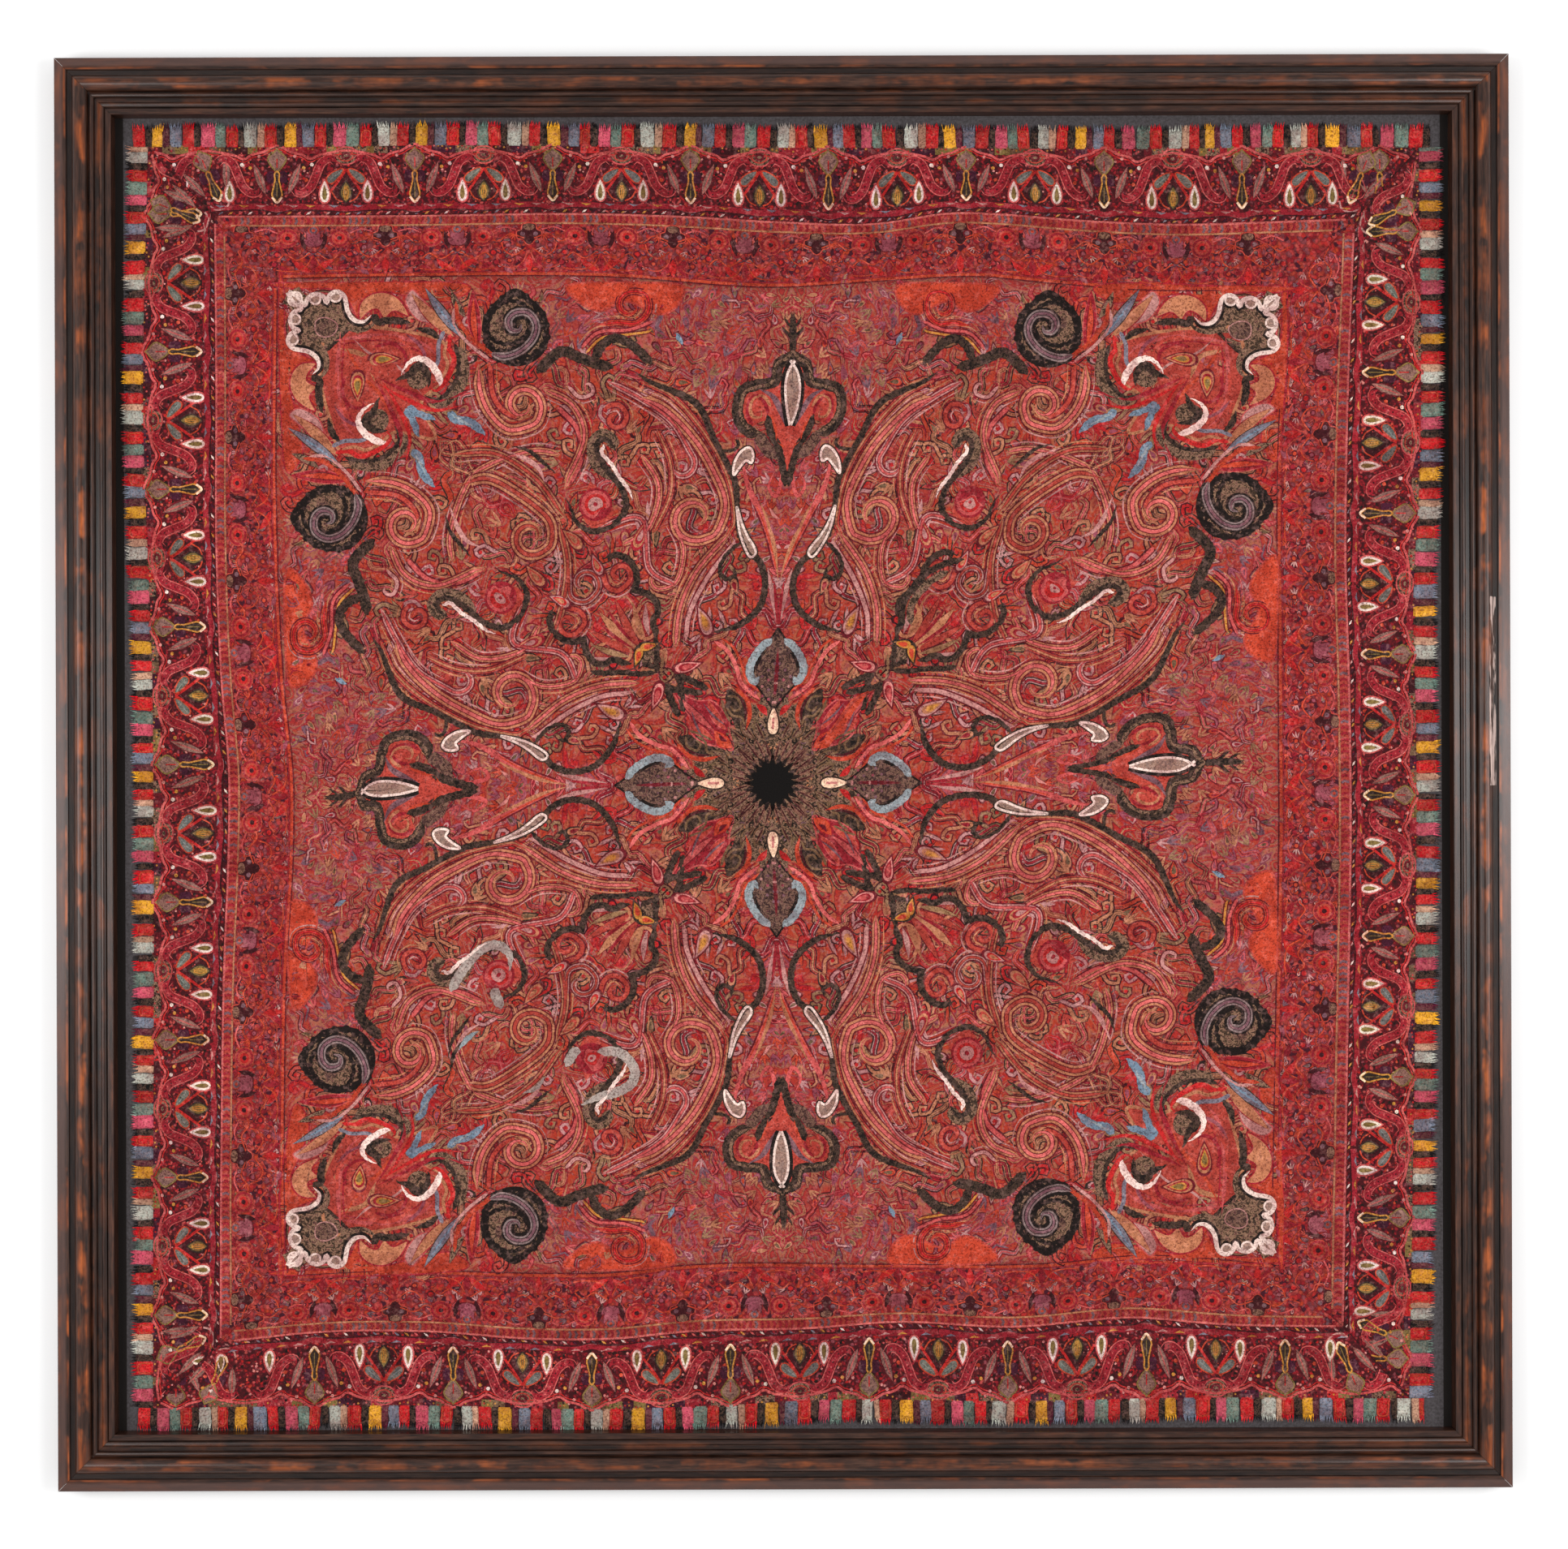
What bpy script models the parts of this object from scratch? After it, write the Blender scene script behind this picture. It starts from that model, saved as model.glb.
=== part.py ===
"""A square paisley shawl laid flat on a cloth-covered board, in a stepped wooden frame.

It lies on its back: +X to the right, +Y to the shawl's upper edge, +Z up. The origin is the middle
of the frame's underside. Lengths are in metres; the tables of the cloth's edges are in millimetres.
"""

import math

import bmesh
import bpy
import numpy as np
from mathutils import Matrix, Vector

MM = 0.001

# Frame
FRAME_WIDTH = 1.974
FRAME_HEIGHT = 1.946
MOULDING_WIDTH = 0.077
REBATE_WIDTH = 0.010
GAP = 0.0003

# Backing board, and the cloth on it
BOARD_THICKNESS = 0.014
CLOTH_THICKNESS = 0.0016
RIPPLE_HEIGHT = 0.0011
RIPPLE_LENGTH = 0.43
FLAT_MIDDLE = 0.06
SIDE_SEGMENTS = 22
BORDER_SEGMENTS_ACROSS = 2

# Black star at the middle of the field
STAR_CENTRE = (-0.015, -0.014)
STAR_POINTS = 16
STAR_OUTER_RADIUS = 0.032
STAR_INNER_RADIUS = 0.026
STAR_THICKNESS = 0.001

# Fringe
LOCKS_A_SIDE = 50
STRIP_WIDTH = 0.005
FRINGE_LENGTH = 0.0275
FRINGE_THICKNESS = 0.0012
LOCK_ROOT_SHARE = 0.84
LOCK_TIP_SHARE = 0.72
LOCK_LENGTH_CHANGE = 0.06
FRAME_CLEARANCE = 0.003

# Corners of each line on the cloth, in mm, in the order top left, top right, bottom right, bottom left
CORNERS = {
    "field": ((-688, 676), (689, 657), (663, -672), (-678, -684)),
    "seam": ((-774, 762), (782, 754), (762, -759), (-771, -776)),
    "hem": ((-867, 859), (872, 853), (854, -859), (-865, -867)),
}

# How each line waves between its corners. Columns: place along the side, distance from the middle, mm
WAVES = {
    "field": {
        "top": ((-514, 678), (-236, 677), (-4, 662), (151, 671), (262, 676), (373, 666), (484, 657)),
        "bottom": ((-540, 678), (-318, 682), (-252, 682), (-130, 671), (147, 671), (369, 670), (480, 660)),
        "left": ((-583, 682), (-494, 682), (-273, 678), (-95, 668), (-7, 668), (115, 680), (348, 690)),
        "right": ((-388, 669), (-99, 675), (167, 675), (455, 676)),
    },
    "seam": {
        "top": (
            (-513, 762), (-269, 764), (-136, 760), (-4, 752), (124, 749),
            (240, 764), (296, 762), (407, 753), (540, 747), (662, 750),
        ),
        "bottom": (
            (-629, 762), (-485, 762), (-352, 772), (-241, 773), (-130, 763),
            (36, 759), (147, 751), (313, 758), (480, 746), (591, 755),
        ),
        "left": ((-494, 769), (-272, 765), (-95, 758), (-6, 757), (127, 767), (348, 774), (504, 773)),
        "right": ((-388, 769), (-55, 775), (133, 773), (277, 769), (455, 771)),
    },
    "hem": {
        "top": ((-679, 858), (-458, 860), (-214, 857), (207, 854), (484, 852), (706, 854)),
        "bottom": ((-463, 865), (-274, 870), (-75, 865), (36, 859), (313, 861), (546, 857)),
        "left": ((-605, 864), (-50, 862), (171, 864), (304, 869), (460, 874)),
        "right": ((-277, 864), (55, 866), (244, 863), (388, 871)),
    },
}

# Each side's first and last corner as it is read along +X or +Y
SIDE_ENDS = {"top": (0, 1), "bottom": (3, 2), "left": (3, 0), "right": (2, 1)}
SIDES = tuple(SIDE_ENDS)

# Colours: red, green, blue; then roughness and metallic
FINISHES = {
    "wood": ((0.045, 0.024, 0.016), 0.42, 0.0),
    "backing_felt": ((0.070, 0.065, 0.070), 0.95, 0.0),
    "field_wool": ((0.43, 0.06, 0.045), 0.9, 0.0),
    "inner_border_wool": ((0.40, 0.045, 0.055), 0.9, 0.0),
    "outer_border_wool": ((0.18, 0.010, 0.025), 0.9, 0.0),
    "star_wool": ((0.010, 0.009, 0.009), 0.9, 0.0),
    "fringe_wool": ((0.45, 0.02, 0.02), 0.9, 0.0),
}


def clear_scene():
    for obj in list(bpy.data.objects):
        bpy.data.objects.remove(obj, do_unlink=True)


def make_collection(name):
    collection = bpy.data.collections.new(name)
    bpy.context.scene.collection.children.link(collection)
    return collection


def make_material(name, finish):
    colour, roughness, metallic = FINISHES[finish]
    material = bpy.data.materials.new(name)
    material.use_nodes = True
    shader = material.node_tree.nodes["Principled BSDF"]
    shader.inputs["Base Color"].default_value = (*colour, 1.0)
    shader.inputs["Roughness"].default_value = roughness
    shader.inputs["Metallic"].default_value = metallic
    material.diffuse_color = (*colour, 1.0)
    return material


def add_object(collection, name, mesh, finish):
    obj = bpy.data.objects.new(name, mesh)
    obj.data.materials.clear()
    obj.data.materials.append(make_material(name, finish))
    collection.objects.link(obj)
    return obj


def extruded_outline(name, points, thickness):
    """A mesh of the flat outline, extruded by half the thickness to each side of its plane."""
    curve = bpy.data.curves.new(name, "CURVE")
    curve.dimensions = "2D"
    curve.fill_mode = "BOTH"
    curve.extrude = thickness / 2
    spline = curve.splines.new("POLY")
    spline.points.add(len(points) - 1)
    for point, (x, y) in zip(spline.points, points):
        point.co = (x, y, 0.0, 1.0)
    spline.use_cyclic_u = True
    carrier = bpy.data.objects.new(name + "_outline", curve)
    bpy.context.scene.collection.objects.link(carrier)
    depsgraph = bpy.context.evaluated_depsgraph_get()
    mesh = bpy.data.meshes.new_from_object(carrier.evaluated_get(depsgraph))
    mesh.name = name
    bpy.data.objects.remove(carrier, do_unlink=True)
    bpy.data.curves.remove(curve)
    bm = bmesh.new()
    bm.from_mesh(mesh)
    bmesh.ops.remove_doubles(bm, verts=bm.verts, dist=0.00001)
    bmesh.ops.recalc_face_normals(bm, faces=bm.faces)
    bm.to_mesh(mesh)
    bm.free()
    return mesh


def arc(centre, radii, start, end, steps):
    """Points on an ellipse, from one angle to another in degrees."""
    angles = np.radians(np.linspace(start, end, steps + 1))
    return [(centre[0] + radii[0] * math.cos(a), centre[1] + radii[1] * math.sin(a)) for a in angles]


def moulding_profile():
    """The moulding's section: distance in from the frame's outer edge, then height, in metres."""
    lip = BOARD_THICKNESS / MM + GAP / MM
    rebate = (MOULDING_WIDTH - REBATE_WIDTH) / MM
    sight = MOULDING_WIDTH / MM
    outer_fillet = [(0.0, 0.0), (0.0, 33.2), (0.8, 34.0), (15.2, 34.0), (16.2, 33.2)]
    cove = [(16.6, 31.0), (23.0, 30.4)]
    large_roll = arc((35.0, 30.6), (11.4, 11.4), 172, 16, 12)
    quirk = [(47.2, 32.4), (48.4, 32.4)]
    bead = arc((51.4, 34.2), (2.9, 3.0), 180, 0, 6)
    channel = [(54.8, 32.2), (60.2, 32.2)]
    small_round = arc((64.4, 32.8), (3.9, 3.9), 176, 4, 6)
    inner_fillet = [(68.9, 32.6), (69.4, 34.2), (sight - 0.9, 34.2), (sight, 33.4)]
    wall = [(sight, lip), (rebate, lip), (rebate, 0.0)]
    parts = (outer_fillet, cove, large_roll, quirk, bead, channel, small_round, inner_fillet, wall)
    return [(x * MM, z * MM) for part in parts for x, z in part]


def frame_member(collection, name, length, reach, turn):
    """A mitred length of moulding. reach is how far its outer edge lies from the origin."""
    mesh = extruded_outline(name, moulding_profile(), length)
    mitre_slack = GAP * math.sqrt(0.5)
    for vertex in mesh.vertices:
        end = math.copysign(1.0, vertex.co.z)
        vertex.co.z = end * (length / 2 - vertex.co.x - mitre_slack)
    inward_up_along = Matrix(((0, 0, 1, 0), (1, 0, 0, 0), (0, 1, 0, 0), (0, 0, 0, 1)))
    member = add_object(collection, name, mesh, "wood")
    out = Matrix.Translation((0.0, -reach, 0.0))
    member.matrix_world = Matrix.Rotation(turn, 4, "Z") @ out @ inward_up_along
    return member


def make_frame(collection):
    half_width, half_height = FRAME_WIDTH / 2, FRAME_HEIGHT / 2
    quarter = math.pi / 2
    frame_member(collection, "frame_bottom", FRAME_WIDTH, half_height, 0.0)
    frame_member(collection, "frame_right", FRAME_HEIGHT, half_width, quarter)
    frame_member(collection, "frame_top", FRAME_WIDTH, half_height, 2 * quarter)
    frame_member(collection, "frame_left", FRAME_HEIGHT, half_width, 3 * quarter)


def make_board(collection):
    inset = 2 * (MOULDING_WIDTH - REBATE_WIDTH + GAP)
    bm = bmesh.new()
    bmesh.ops.create_cube(bm, size=1.0)
    size = Vector((FRAME_WIDTH - inset, FRAME_HEIGHT - inset, BOARD_THICKNESS))
    bmesh.ops.scale(bm, vec=size, verts=bm.verts)
    mesh = bpy.data.meshes.new("backing_board")
    bm.to_mesh(mesh)
    bm.free()
    board = add_object(collection, "backing_board", mesh, "backing_felt")
    board.location.z = BOARD_THICKNESS / 2


def smooth_value(places, values, place):
    """A cubic curve through the table's rows, read at one place."""
    slopes = np.gradient(values, places)
    i = int(np.clip(np.searchsorted(places, place) - 1, 0, len(places) - 2))
    span = places[i + 1] - places[i]
    t = (place - places[i]) / span
    rise, keep = t * t * (3 - 2 * t), 1 - t
    bend = slopes[i] * t * keep * keep - slopes[i + 1] * t * t * keep
    return values[i] * (1 - rise) + values[i + 1] * rise + bend * span


def on_side(side, along, out):
    """A point in the shawl's plane from its place along a side and its distance from the middle."""
    return {
        "top": Vector((along, out)),
        "bottom": Vector((along, -out)),
        "left": Vector((-out, along)),
        "right": Vector((out, along)),
    }[side]


def along_and_out(side, point):
    x, y = point
    return {"top": (x, y), "bottom": (x, -y), "left": (y, -x), "right": (y, x)}[side]


def side_table(line, side):
    first, last = (along_and_out(side, CORNERS[line][i]) for i in SIDE_ENDS[side])
    rows = np.array((first, *WAVES[line][side], last), dtype=float) * MM
    return rows[:, 0], rows[:, 1]


def line_point(line, side, share):
    """A point on one of the cloth's lines, share of the way from the side's first corner to its last."""
    places, values = side_table(line, side)
    along = places[0] + share * (places[-1] - places[0])
    return on_side(side, along, smooth_value(places, values, along))


def ripple(point):
    """How far the cloth rises off the board, fading out at the middle and at the hem."""
    x, y = point
    turn = 2 * math.pi / RIPPLE_LENGTH
    wave = 0.5 + 0.25 * math.sin(turn * x + 1.3 * math.sin(3 * y))
    wave += 0.25 * math.sin(turn * y + 1.7 * math.sin(2.5 * x))
    from_star = math.hypot(x - STAR_CENTRE[0], y - STAR_CENTRE[1])
    from_middle = max(abs(x), abs(y))
    edge = min(1.0, max(0.0, (0.84 - from_middle) / 0.10))
    middle = min(1.0, max(0.0, from_star / FLAT_MIDDLE - 1.0))
    return RIPPLE_HEIGHT * wave * edge * middle


def cloth_height(point):
    return BOARD_THICKNESS + GAP + ripple(point)


def cloth_panel(collection, name, segments, place, finish):
    """A cloth wall: a grid laid out by place(u, v), given its thickness upwards."""
    bm = bmesh.new()
    bmesh.ops.create_grid(bm, x_segments=segments[0], y_segments=segments[1], size=0.5)
    for vertex in bm.verts:
        point = place(vertex.co.x + 0.5, vertex.co.y + 0.5)
        vertex.co = (point.x, point.y, cloth_height(point))
    bmesh.ops.recalc_face_normals(bm, faces=bm.faces)
    if sum(face.normal.z for face in bm.faces) < 0:
        bmesh.ops.reverse_faces(bm, faces=bm.faces)
    mesh = bpy.data.meshes.new(name)
    bm.to_mesh(mesh)
    bm.free()
    panel = add_object(collection, name, mesh, finish)
    wall = panel.modifiers.new("wall", "SOLIDIFY")
    wall.thickness = CLOTH_THICKNESS
    wall.offset = 1.0
    return panel


def field_point(u, v):
    """A point of the field from the four lines round it, kept half a seam's gap inside them."""
    bottom, top = line_point("field", "bottom", u), line_point("field", "top", u)
    left, right = line_point("field", "left", v), line_point("field", "right", v)
    corner = [Vector(c) * MM for c in CORNERS["field"]]
    across = bottom.lerp(top, v) + left.lerp(right, u)
    flat = corner[3].lerp(corner[2], u).lerp(corner[0].lerp(corner[1], u), v)
    inward = Vector((0.5 - u, 0.5 - v)) * GAP
    return across - flat + inward


def border_point(side, inner, outer, u, v):
    """A point of a border strip: u runs along its side and v from its inner line to its outer."""
    start, end = line_point(inner, side, u), line_point(outer, side, u)
    width = (end - start).length
    share = (GAP / 2 + v * (width - GAP)) / width
    mitre_slack = GAP * math.sqrt(0.5) * (1 - 2 * u)
    return start.lerp(end, share) + on_side(side, mitre_slack, 0.0)


def make_cloth(collection):
    cloth_panel(collection, "field", (SIDE_SEGMENTS, SIDE_SEGMENTS), field_point, "field_wool")
    rings = (("inner_border", "field", "seam"), ("outer_border", "seam", "hem"))
    for ring, inner, outer in rings:
        for side in SIDES:

            def place(u, v, side=side, inner=inner, outer=outer):
                return border_point(side, inner, outer, u, v)

            segments = (SIDE_SEGMENTS, BORDER_SEGMENTS_ACROSS)
            cloth_panel(collection, f"{ring}_{side}", segments, place, ring + "_wool")


def make_star(collection):
    step = math.pi / STAR_POINTS
    radii = (STAR_OUTER_RADIUS, STAR_INNER_RADIUS)
    points = [
        (radii[i % 2] * math.cos(i * step), radii[i % 2] * math.sin(i * step))
        for i in range(2 * STAR_POINTS)
    ]
    mesh = extruded_outline("centre_star", points, STAR_THICKNESS)
    star = add_object(collection, "centre_star", mesh, "star_wool")
    top_of_field = BOARD_THICKNESS + GAP + CLOTH_THICKNESS
    star.location = (*STAR_CENTRE, top_of_field + GAP + STAR_THICKNESS / 2)


def hem_points(side, steps):
    return [along_and_out(side, line_point("hem", side, i / steps)) for i in range(steps + 1)]


def fringe_outline(side):
    """The strip along the hem and its locks, as one comb-shaped outline."""
    sight = (FRAME_WIDTH if side in ("left", "right") else FRAME_HEIGHT) / 2 - MOULDING_WIDTH
    seam = hem_points(side, SIDE_SEGMENTS)
    hem = hem_points(side, LOCKS_A_SIDE)
    outline = [(along, out + GAP) for along, out in seam]
    teeth = []
    for i, (start, end) in enumerate(zip(hem, hem[1:])):
        middle, out = (start[0] + end[0]) / 2, (start[1] + end[1]) / 2
        pitch = end[0] - start[0]
        root, tip = pitch * LOCK_ROOT_SHARE / 2, pitch * LOCK_TIP_SHARE / 2
        length = FRINGE_LENGTH * (1 + LOCK_LENGTH_CHANGE * math.sin(2.4 * i))
        end_of_lock = min(out + length, sight - FRAME_CLEARANCE)
        foot = out + STRIP_WIDTH
        teeth += [(middle - root, foot), (middle - tip, end_of_lock)]
        teeth += [(middle + tip, end_of_lock), (middle + root, foot)]
    first = (hem[0][0], hem[0][1] + STRIP_WIDTH)
    last = (hem[-1][0], hem[-1][1] + STRIP_WIDTH)
    outline += [last, *reversed(teeth), first]
    return [tuple(on_side(side, along, out)) for along, out in outline]


def make_fringe(collection):
    for side in SIDES:
        name = f"fringe_{side}"
        mesh = extruded_outline(name, fringe_outline(side), FRINGE_THICKNESS)
        fringe = add_object(collection, name, mesh, "fringe_wool")
        fringe.location.z = BOARD_THICKNESS + GAP + FRINGE_THICKNESS / 2


def main():
    clear_scene()
    collection = make_collection("paisley_shawl")
    make_frame(collection)
    make_board(collection)
    make_cloth(collection)
    make_star(collection)
    make_fringe(collection)


main()
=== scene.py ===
"""Looks of a square paisley shawl that lies on a cloth-covered board in a stepped wooden frame.

The pattern is charted in pixels of the photograph, measured at the cloth. One octant of the field is
drawn and turned into all eight, and a gentle warp then pulls it as the real, hand-pieced cloth is pulled.
"""
import math

import bmesh
import bpy
import numpy as np
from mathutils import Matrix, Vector
from mathutils.geometry import tessellate_polygon


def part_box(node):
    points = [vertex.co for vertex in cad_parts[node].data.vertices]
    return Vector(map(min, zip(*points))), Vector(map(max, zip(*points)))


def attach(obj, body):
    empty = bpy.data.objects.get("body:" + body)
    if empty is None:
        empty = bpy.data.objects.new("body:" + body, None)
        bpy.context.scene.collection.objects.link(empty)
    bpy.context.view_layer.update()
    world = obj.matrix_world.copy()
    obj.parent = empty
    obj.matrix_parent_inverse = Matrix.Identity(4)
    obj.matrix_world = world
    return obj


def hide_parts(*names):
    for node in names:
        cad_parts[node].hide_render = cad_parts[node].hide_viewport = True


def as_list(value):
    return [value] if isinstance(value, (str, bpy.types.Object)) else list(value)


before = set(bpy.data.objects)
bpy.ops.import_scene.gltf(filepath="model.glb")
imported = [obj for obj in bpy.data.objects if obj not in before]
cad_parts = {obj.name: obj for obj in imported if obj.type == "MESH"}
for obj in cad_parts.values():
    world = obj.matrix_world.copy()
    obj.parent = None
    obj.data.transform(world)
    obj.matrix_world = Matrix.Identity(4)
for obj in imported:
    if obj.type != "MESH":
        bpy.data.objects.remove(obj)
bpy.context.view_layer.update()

RNG = np.random.default_rng(11)

# Sizes, in metres
MM = 0.001
PIXEL = 0.0011084
BOARD_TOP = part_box("backing_board")[1][2]
FRAME_HALF = (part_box("frame_right")[1][0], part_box("frame_top")[1][1])
MOULDING_WIDTH = 0.077
CAMERA_DISTANCE = 3.0
SENSOR_WIDTH = 36.0
FLOOR_HALF = 8.0
FLOOR_HEIGHT = -0.0005
CLOTH_LIFT = 0.0003
CLOTH_THICKNESS = 0.0014
RIPPLE_HEIGHT = 0.0011
RIPPLE_LENGTH = 0.43
STAR_MIDDLE = (-0.015, -0.014)
FLAT_MIDDLE = 0.06

# The photograph's frame, in pixels: its middle lies over the origin, and the pattern's middle is beside it
PHOTO_SIZE = (1932, 1909)
PHOTO_MIDDLE = (965.2, 952.2)
PATTERN_MIDDLE = (952.0, 965.0)
PHOTO_ROLL = 0.003

SIDES = ("top", "bottom", "left", "right")
SIDE_ENDS = {"top": (0, 1), "bottom": (3, 2), "left": (3, 0), "right": (2, 1)}

# Corners of each line on the cloth, in mm, in the order that SIDE_ENDS counts:
# top left, top right, bottom right, bottom left
CORNERS = {
    "field": ((-688, 676), (689, 657), (663, -672), (-678, -684)),
    "seam": ((-774, 762), (782, 754), (762, -759), (-771, -776)),
    "hem": ((-867, 859), (872, 853), (854, -859), (-865, -867)),
}

# How each line waves between its corners. Columns: place along the side, distance from the middle, mm
WAVES = {
    "field": {
        "top": ((-514, 678), (-236, 677), (-4, 662), (151, 671), (262, 676), (373, 666), (484, 657)),
        "bottom": ((-540, 678), (-318, 682), (-252, 682), (-130, 671), (147, 671), (369, 670), (480, 660)),
        "left": ((-583, 682), (-494, 682), (-273, 678), (-95, 668), (-7, 668), (115, 680), (348, 690)),
        "right": ((-388, 669), (-99, 675), (167, 675), (455, 676)),
    },
    "seam": {
        "top": (
            (-513, 762), (-269, 764), (-136, 760), (-4, 752), (124, 749),
            (240, 764), (296, 762), (407, 753), (540, 747), (662, 750),
        ),
        "bottom": (
            (-629, 762), (-485, 762), (-352, 772), (-241, 773), (-130, 763),
            (36, 759), (147, 751), (313, 758), (480, 746), (591, 755),
        ),
        "left": ((-494, 769), (-272, 765), (-95, 758), (-6, 757), (127, 767), (348, 774), (504, 773)),
        "right": ((-388, 769), (-55, 775), (133, 773), (277, 769), (455, 771)),
    },
    "hem": {
        "top": ((-679, 858), (-458, 860), (-214, 857), (207, 854), (484, 852), (706, 854)),
        "bottom": ((-463, 865), (-274, 870), (-75, 865), (36, 859), (313, 861), (546, 857)),
        "left": ((-605, 864), (-50, 862), (171, 864), (304, 869), (460, 874)),
        "right": ((-277, 864), (55, 866), (244, 863), (388, 871)),
    },
}

# Where the pattern's landmarks lie on the real cloth, in pixels from the pattern's middle, +Y up.
# Columns: even place, then its place in the upper, right, lower and left quarter, turned with the quarter
LANDMARKS = (
    ((0, 0), ((0, 0), (0, 0), (0, 0), (0, 0))),
    ((0, 190), ((7, 191), (183, 0), (5, -190), (-195, -3))),
    ((0, 475), ((26, 481), (480, 23), (10, -462), (-477, -5))),
    ((0, 562), ((26, 579), (578, 30), (15, -545), (-547, -20))),
    ((0, 612), ((22, 612), (622, 14), (10, -592), (-592, -16))),
    ((-53, 400), ((-36, 399), (398, 60), (68, -400), (-407, -70))),
    ((53, 400), ((70, 402), (398, -25), (-47, -400), (-392, 53))),
    ((-330, 553), ((-320, 562), (570, 345), (341, -535), (-537, -345))),
    ((330, 553), ((343, 560), (568, -297), (-322, -545), (-547, 330))),
    ((-600, 600), ((-597, 605), (623, 600), (618, -580), (-597, -595))),
)


def rgb(red, green, blue):
    """A colour seen on screen, 0 to 255, as linear red, green and blue."""
    shares = np.array((red, green, blue)) / 255
    return tuple(np.where(shares <= 0.04045, shares / 12.92, ((shares + 0.055) / 1.055) ** 2.4))


def flecked(red, green, blue, amount):
    """A colour with the share of black, khaki and purple flecks in it."""
    return (*rgb(red, green, blue), amount)


THREADS = {
    "black": rgb(28, 23, 20),
    "char": rgb(50, 40, 34),
    "maroon": rgb(62, 20, 26),
    "wine": rgb(98, 24, 34),
    "plum": rgb(66, 24, 44),
    "crimson": rgb(144, 32, 44),
    "red": rgb(176, 36, 36),
    "salmon": rgb(168, 66, 54),
    "rose": rgb(186, 84, 82),
    "pale_rose": rgb(196, 100, 96),
    "orange": rgb(178, 66, 42),
    "tan": rgb(172, 118, 84),
    "mauve": rgb(140, 72, 84),
    "grey_pink": rgb(178, 134, 128),
    "pale_pink": rgb(196, 132, 124),
    "khaki": rgb(108, 88, 62),
    "olive": rgb(122, 106, 58),
    "old_gold": rgb(142, 112, 78),
    "ochre": rgb(184, 132, 56),
    "plum_grey": rgb(112, 84, 92),
    "slate": rgb(116, 120, 132),
    "swirl_grey": rgb(126, 116, 114),
    "sky": rgb(104, 134, 152),
    "pale_blue": rgb(138, 160, 164),
    "teal": rgb(116, 128, 122),
    "white": rgb(222, 212, 200),
    "cream": rgb(226, 204, 172),
    "bleached": flecked(166, 162, 154, 0.12),
    "dark": flecked(27, 23, 20, 0.22),
    "speck_dark": flecked(66, 44, 46, 0.62),
    "speck_khaki": flecked(84, 68, 48, 0.9),
    "speck_plum": flecked(76, 50, 48, 0.6),
    "speck_brown": flecked(110, 72, 58, 0.6),
    "speck_grey": flecked(140, 106, 100, 0.5),
    "speck_teal": flecked(96, 112, 108, 0.35),
    "ring_grey": flecked(166, 146, 134, 0.6),
}


# Where things lie on the cloth

def along_and_out(side, x, y):
    return {"top": (x, y), "bottom": (x, -y), "left": (y, -x), "right": (y, x)}[side]


def on_side(side, along, out):
    places = {"top": (along, out), "bottom": (along, -out), "left": (-out, along), "right": (out, along)}
    return places[side]


def side_table(line, side):
    first, last = (along_and_out(side, *CORNERS[line][i]) for i in SIDE_ENDS[side])
    rows = np.array((first, *WAVES[line][side], last), dtype=float) * MM
    return rows[:, 0], rows[:, 1]


def line_out(line, side, along):
    """How far out one of the cloth's lines lies, at places along a side."""
    places, values = side_table(line, side)
    slopes = np.gradient(values, places)
    i = np.clip(np.searchsorted(places, along) - 1, 0, len(places) - 2)
    span = places[i + 1] - places[i]
    t = np.clip((along - places[i]) / span, 0.0, 1.0)
    rise, keep = t * t * (3 - 2 * t), 1 - t
    bend = slopes[i] * t * keep * keep - slopes[i + 1] * t * t * keep
    return values[i] * (1 - rise) + values[i + 1] * rise + bend * span


def line_at(line, side, share):
    places, _ = side_table(line, side)
    along = places[0] + share * (places[-1] - places[0])
    return np.stack(on_side(side, along, line_out(line, side, along)), axis=-1)


def cloth_top(x, y):
    """Height of the cloth's upper face: the ripples of the solid, and shallow puckers on them."""
    turn = 2 * math.pi / RIPPLE_LENGTH
    wave = 0.5 + 0.25 * np.sin(turn * x + 1.3 * np.sin(3 * y))
    wave += 0.25 * np.sin(turn * y + 1.7 * np.sin(2.5 * x))
    from_star = np.hypot(x - STAR_MIDDLE[0], y - STAR_MIDDLE[1])
    edge = np.clip((0.84 - np.maximum(abs(x), abs(y))) / 0.10, 0, 1)
    middle = np.clip(from_star / FLAT_MIDDLE - 1.0, 0, 1)
    pucker = 0.00012 * np.sin(61 * x + 2.0 * np.sin(23 * y)) * np.sin(57 * y + 2.0 * np.sin(19 * x))
    lift = CLOTH_LIFT + 0.0002 + pucker * middle
    return BOARD_TOP + lift + RIPPLE_HEIGHT * wave * edge * middle + CLOTH_THICKNESS


def landmark_arrays():
    even, real = [], []
    quarter = np.array(((0, -1), (1, 0)))
    for place, quarters in LANDMARKS:
        spot = np.array(place, float)
        for found in quarters:
            even.append(spot)
            real.append(found)
            spot = -quarter @ spot
    return np.array(even), np.array(real, float)


LANDMARK_EVEN, LANDMARK_REAL = landmark_arrays()


def pull(points):
    """How far the real cloth is pulled at places on the even pattern, in pixels."""
    apart = ((points[:, None, :] - LANDMARK_EVEN[None]) ** 2).sum(axis=2)
    weight = 1.0 / (apart + 45.0**2) ** 1.6
    moved = LANDMARK_REAL - LANDMARK_EVEN
    return (weight[:, :, None] * moved[None]).sum(axis=1) / weight.sum(axis=1)[:, None]


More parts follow.
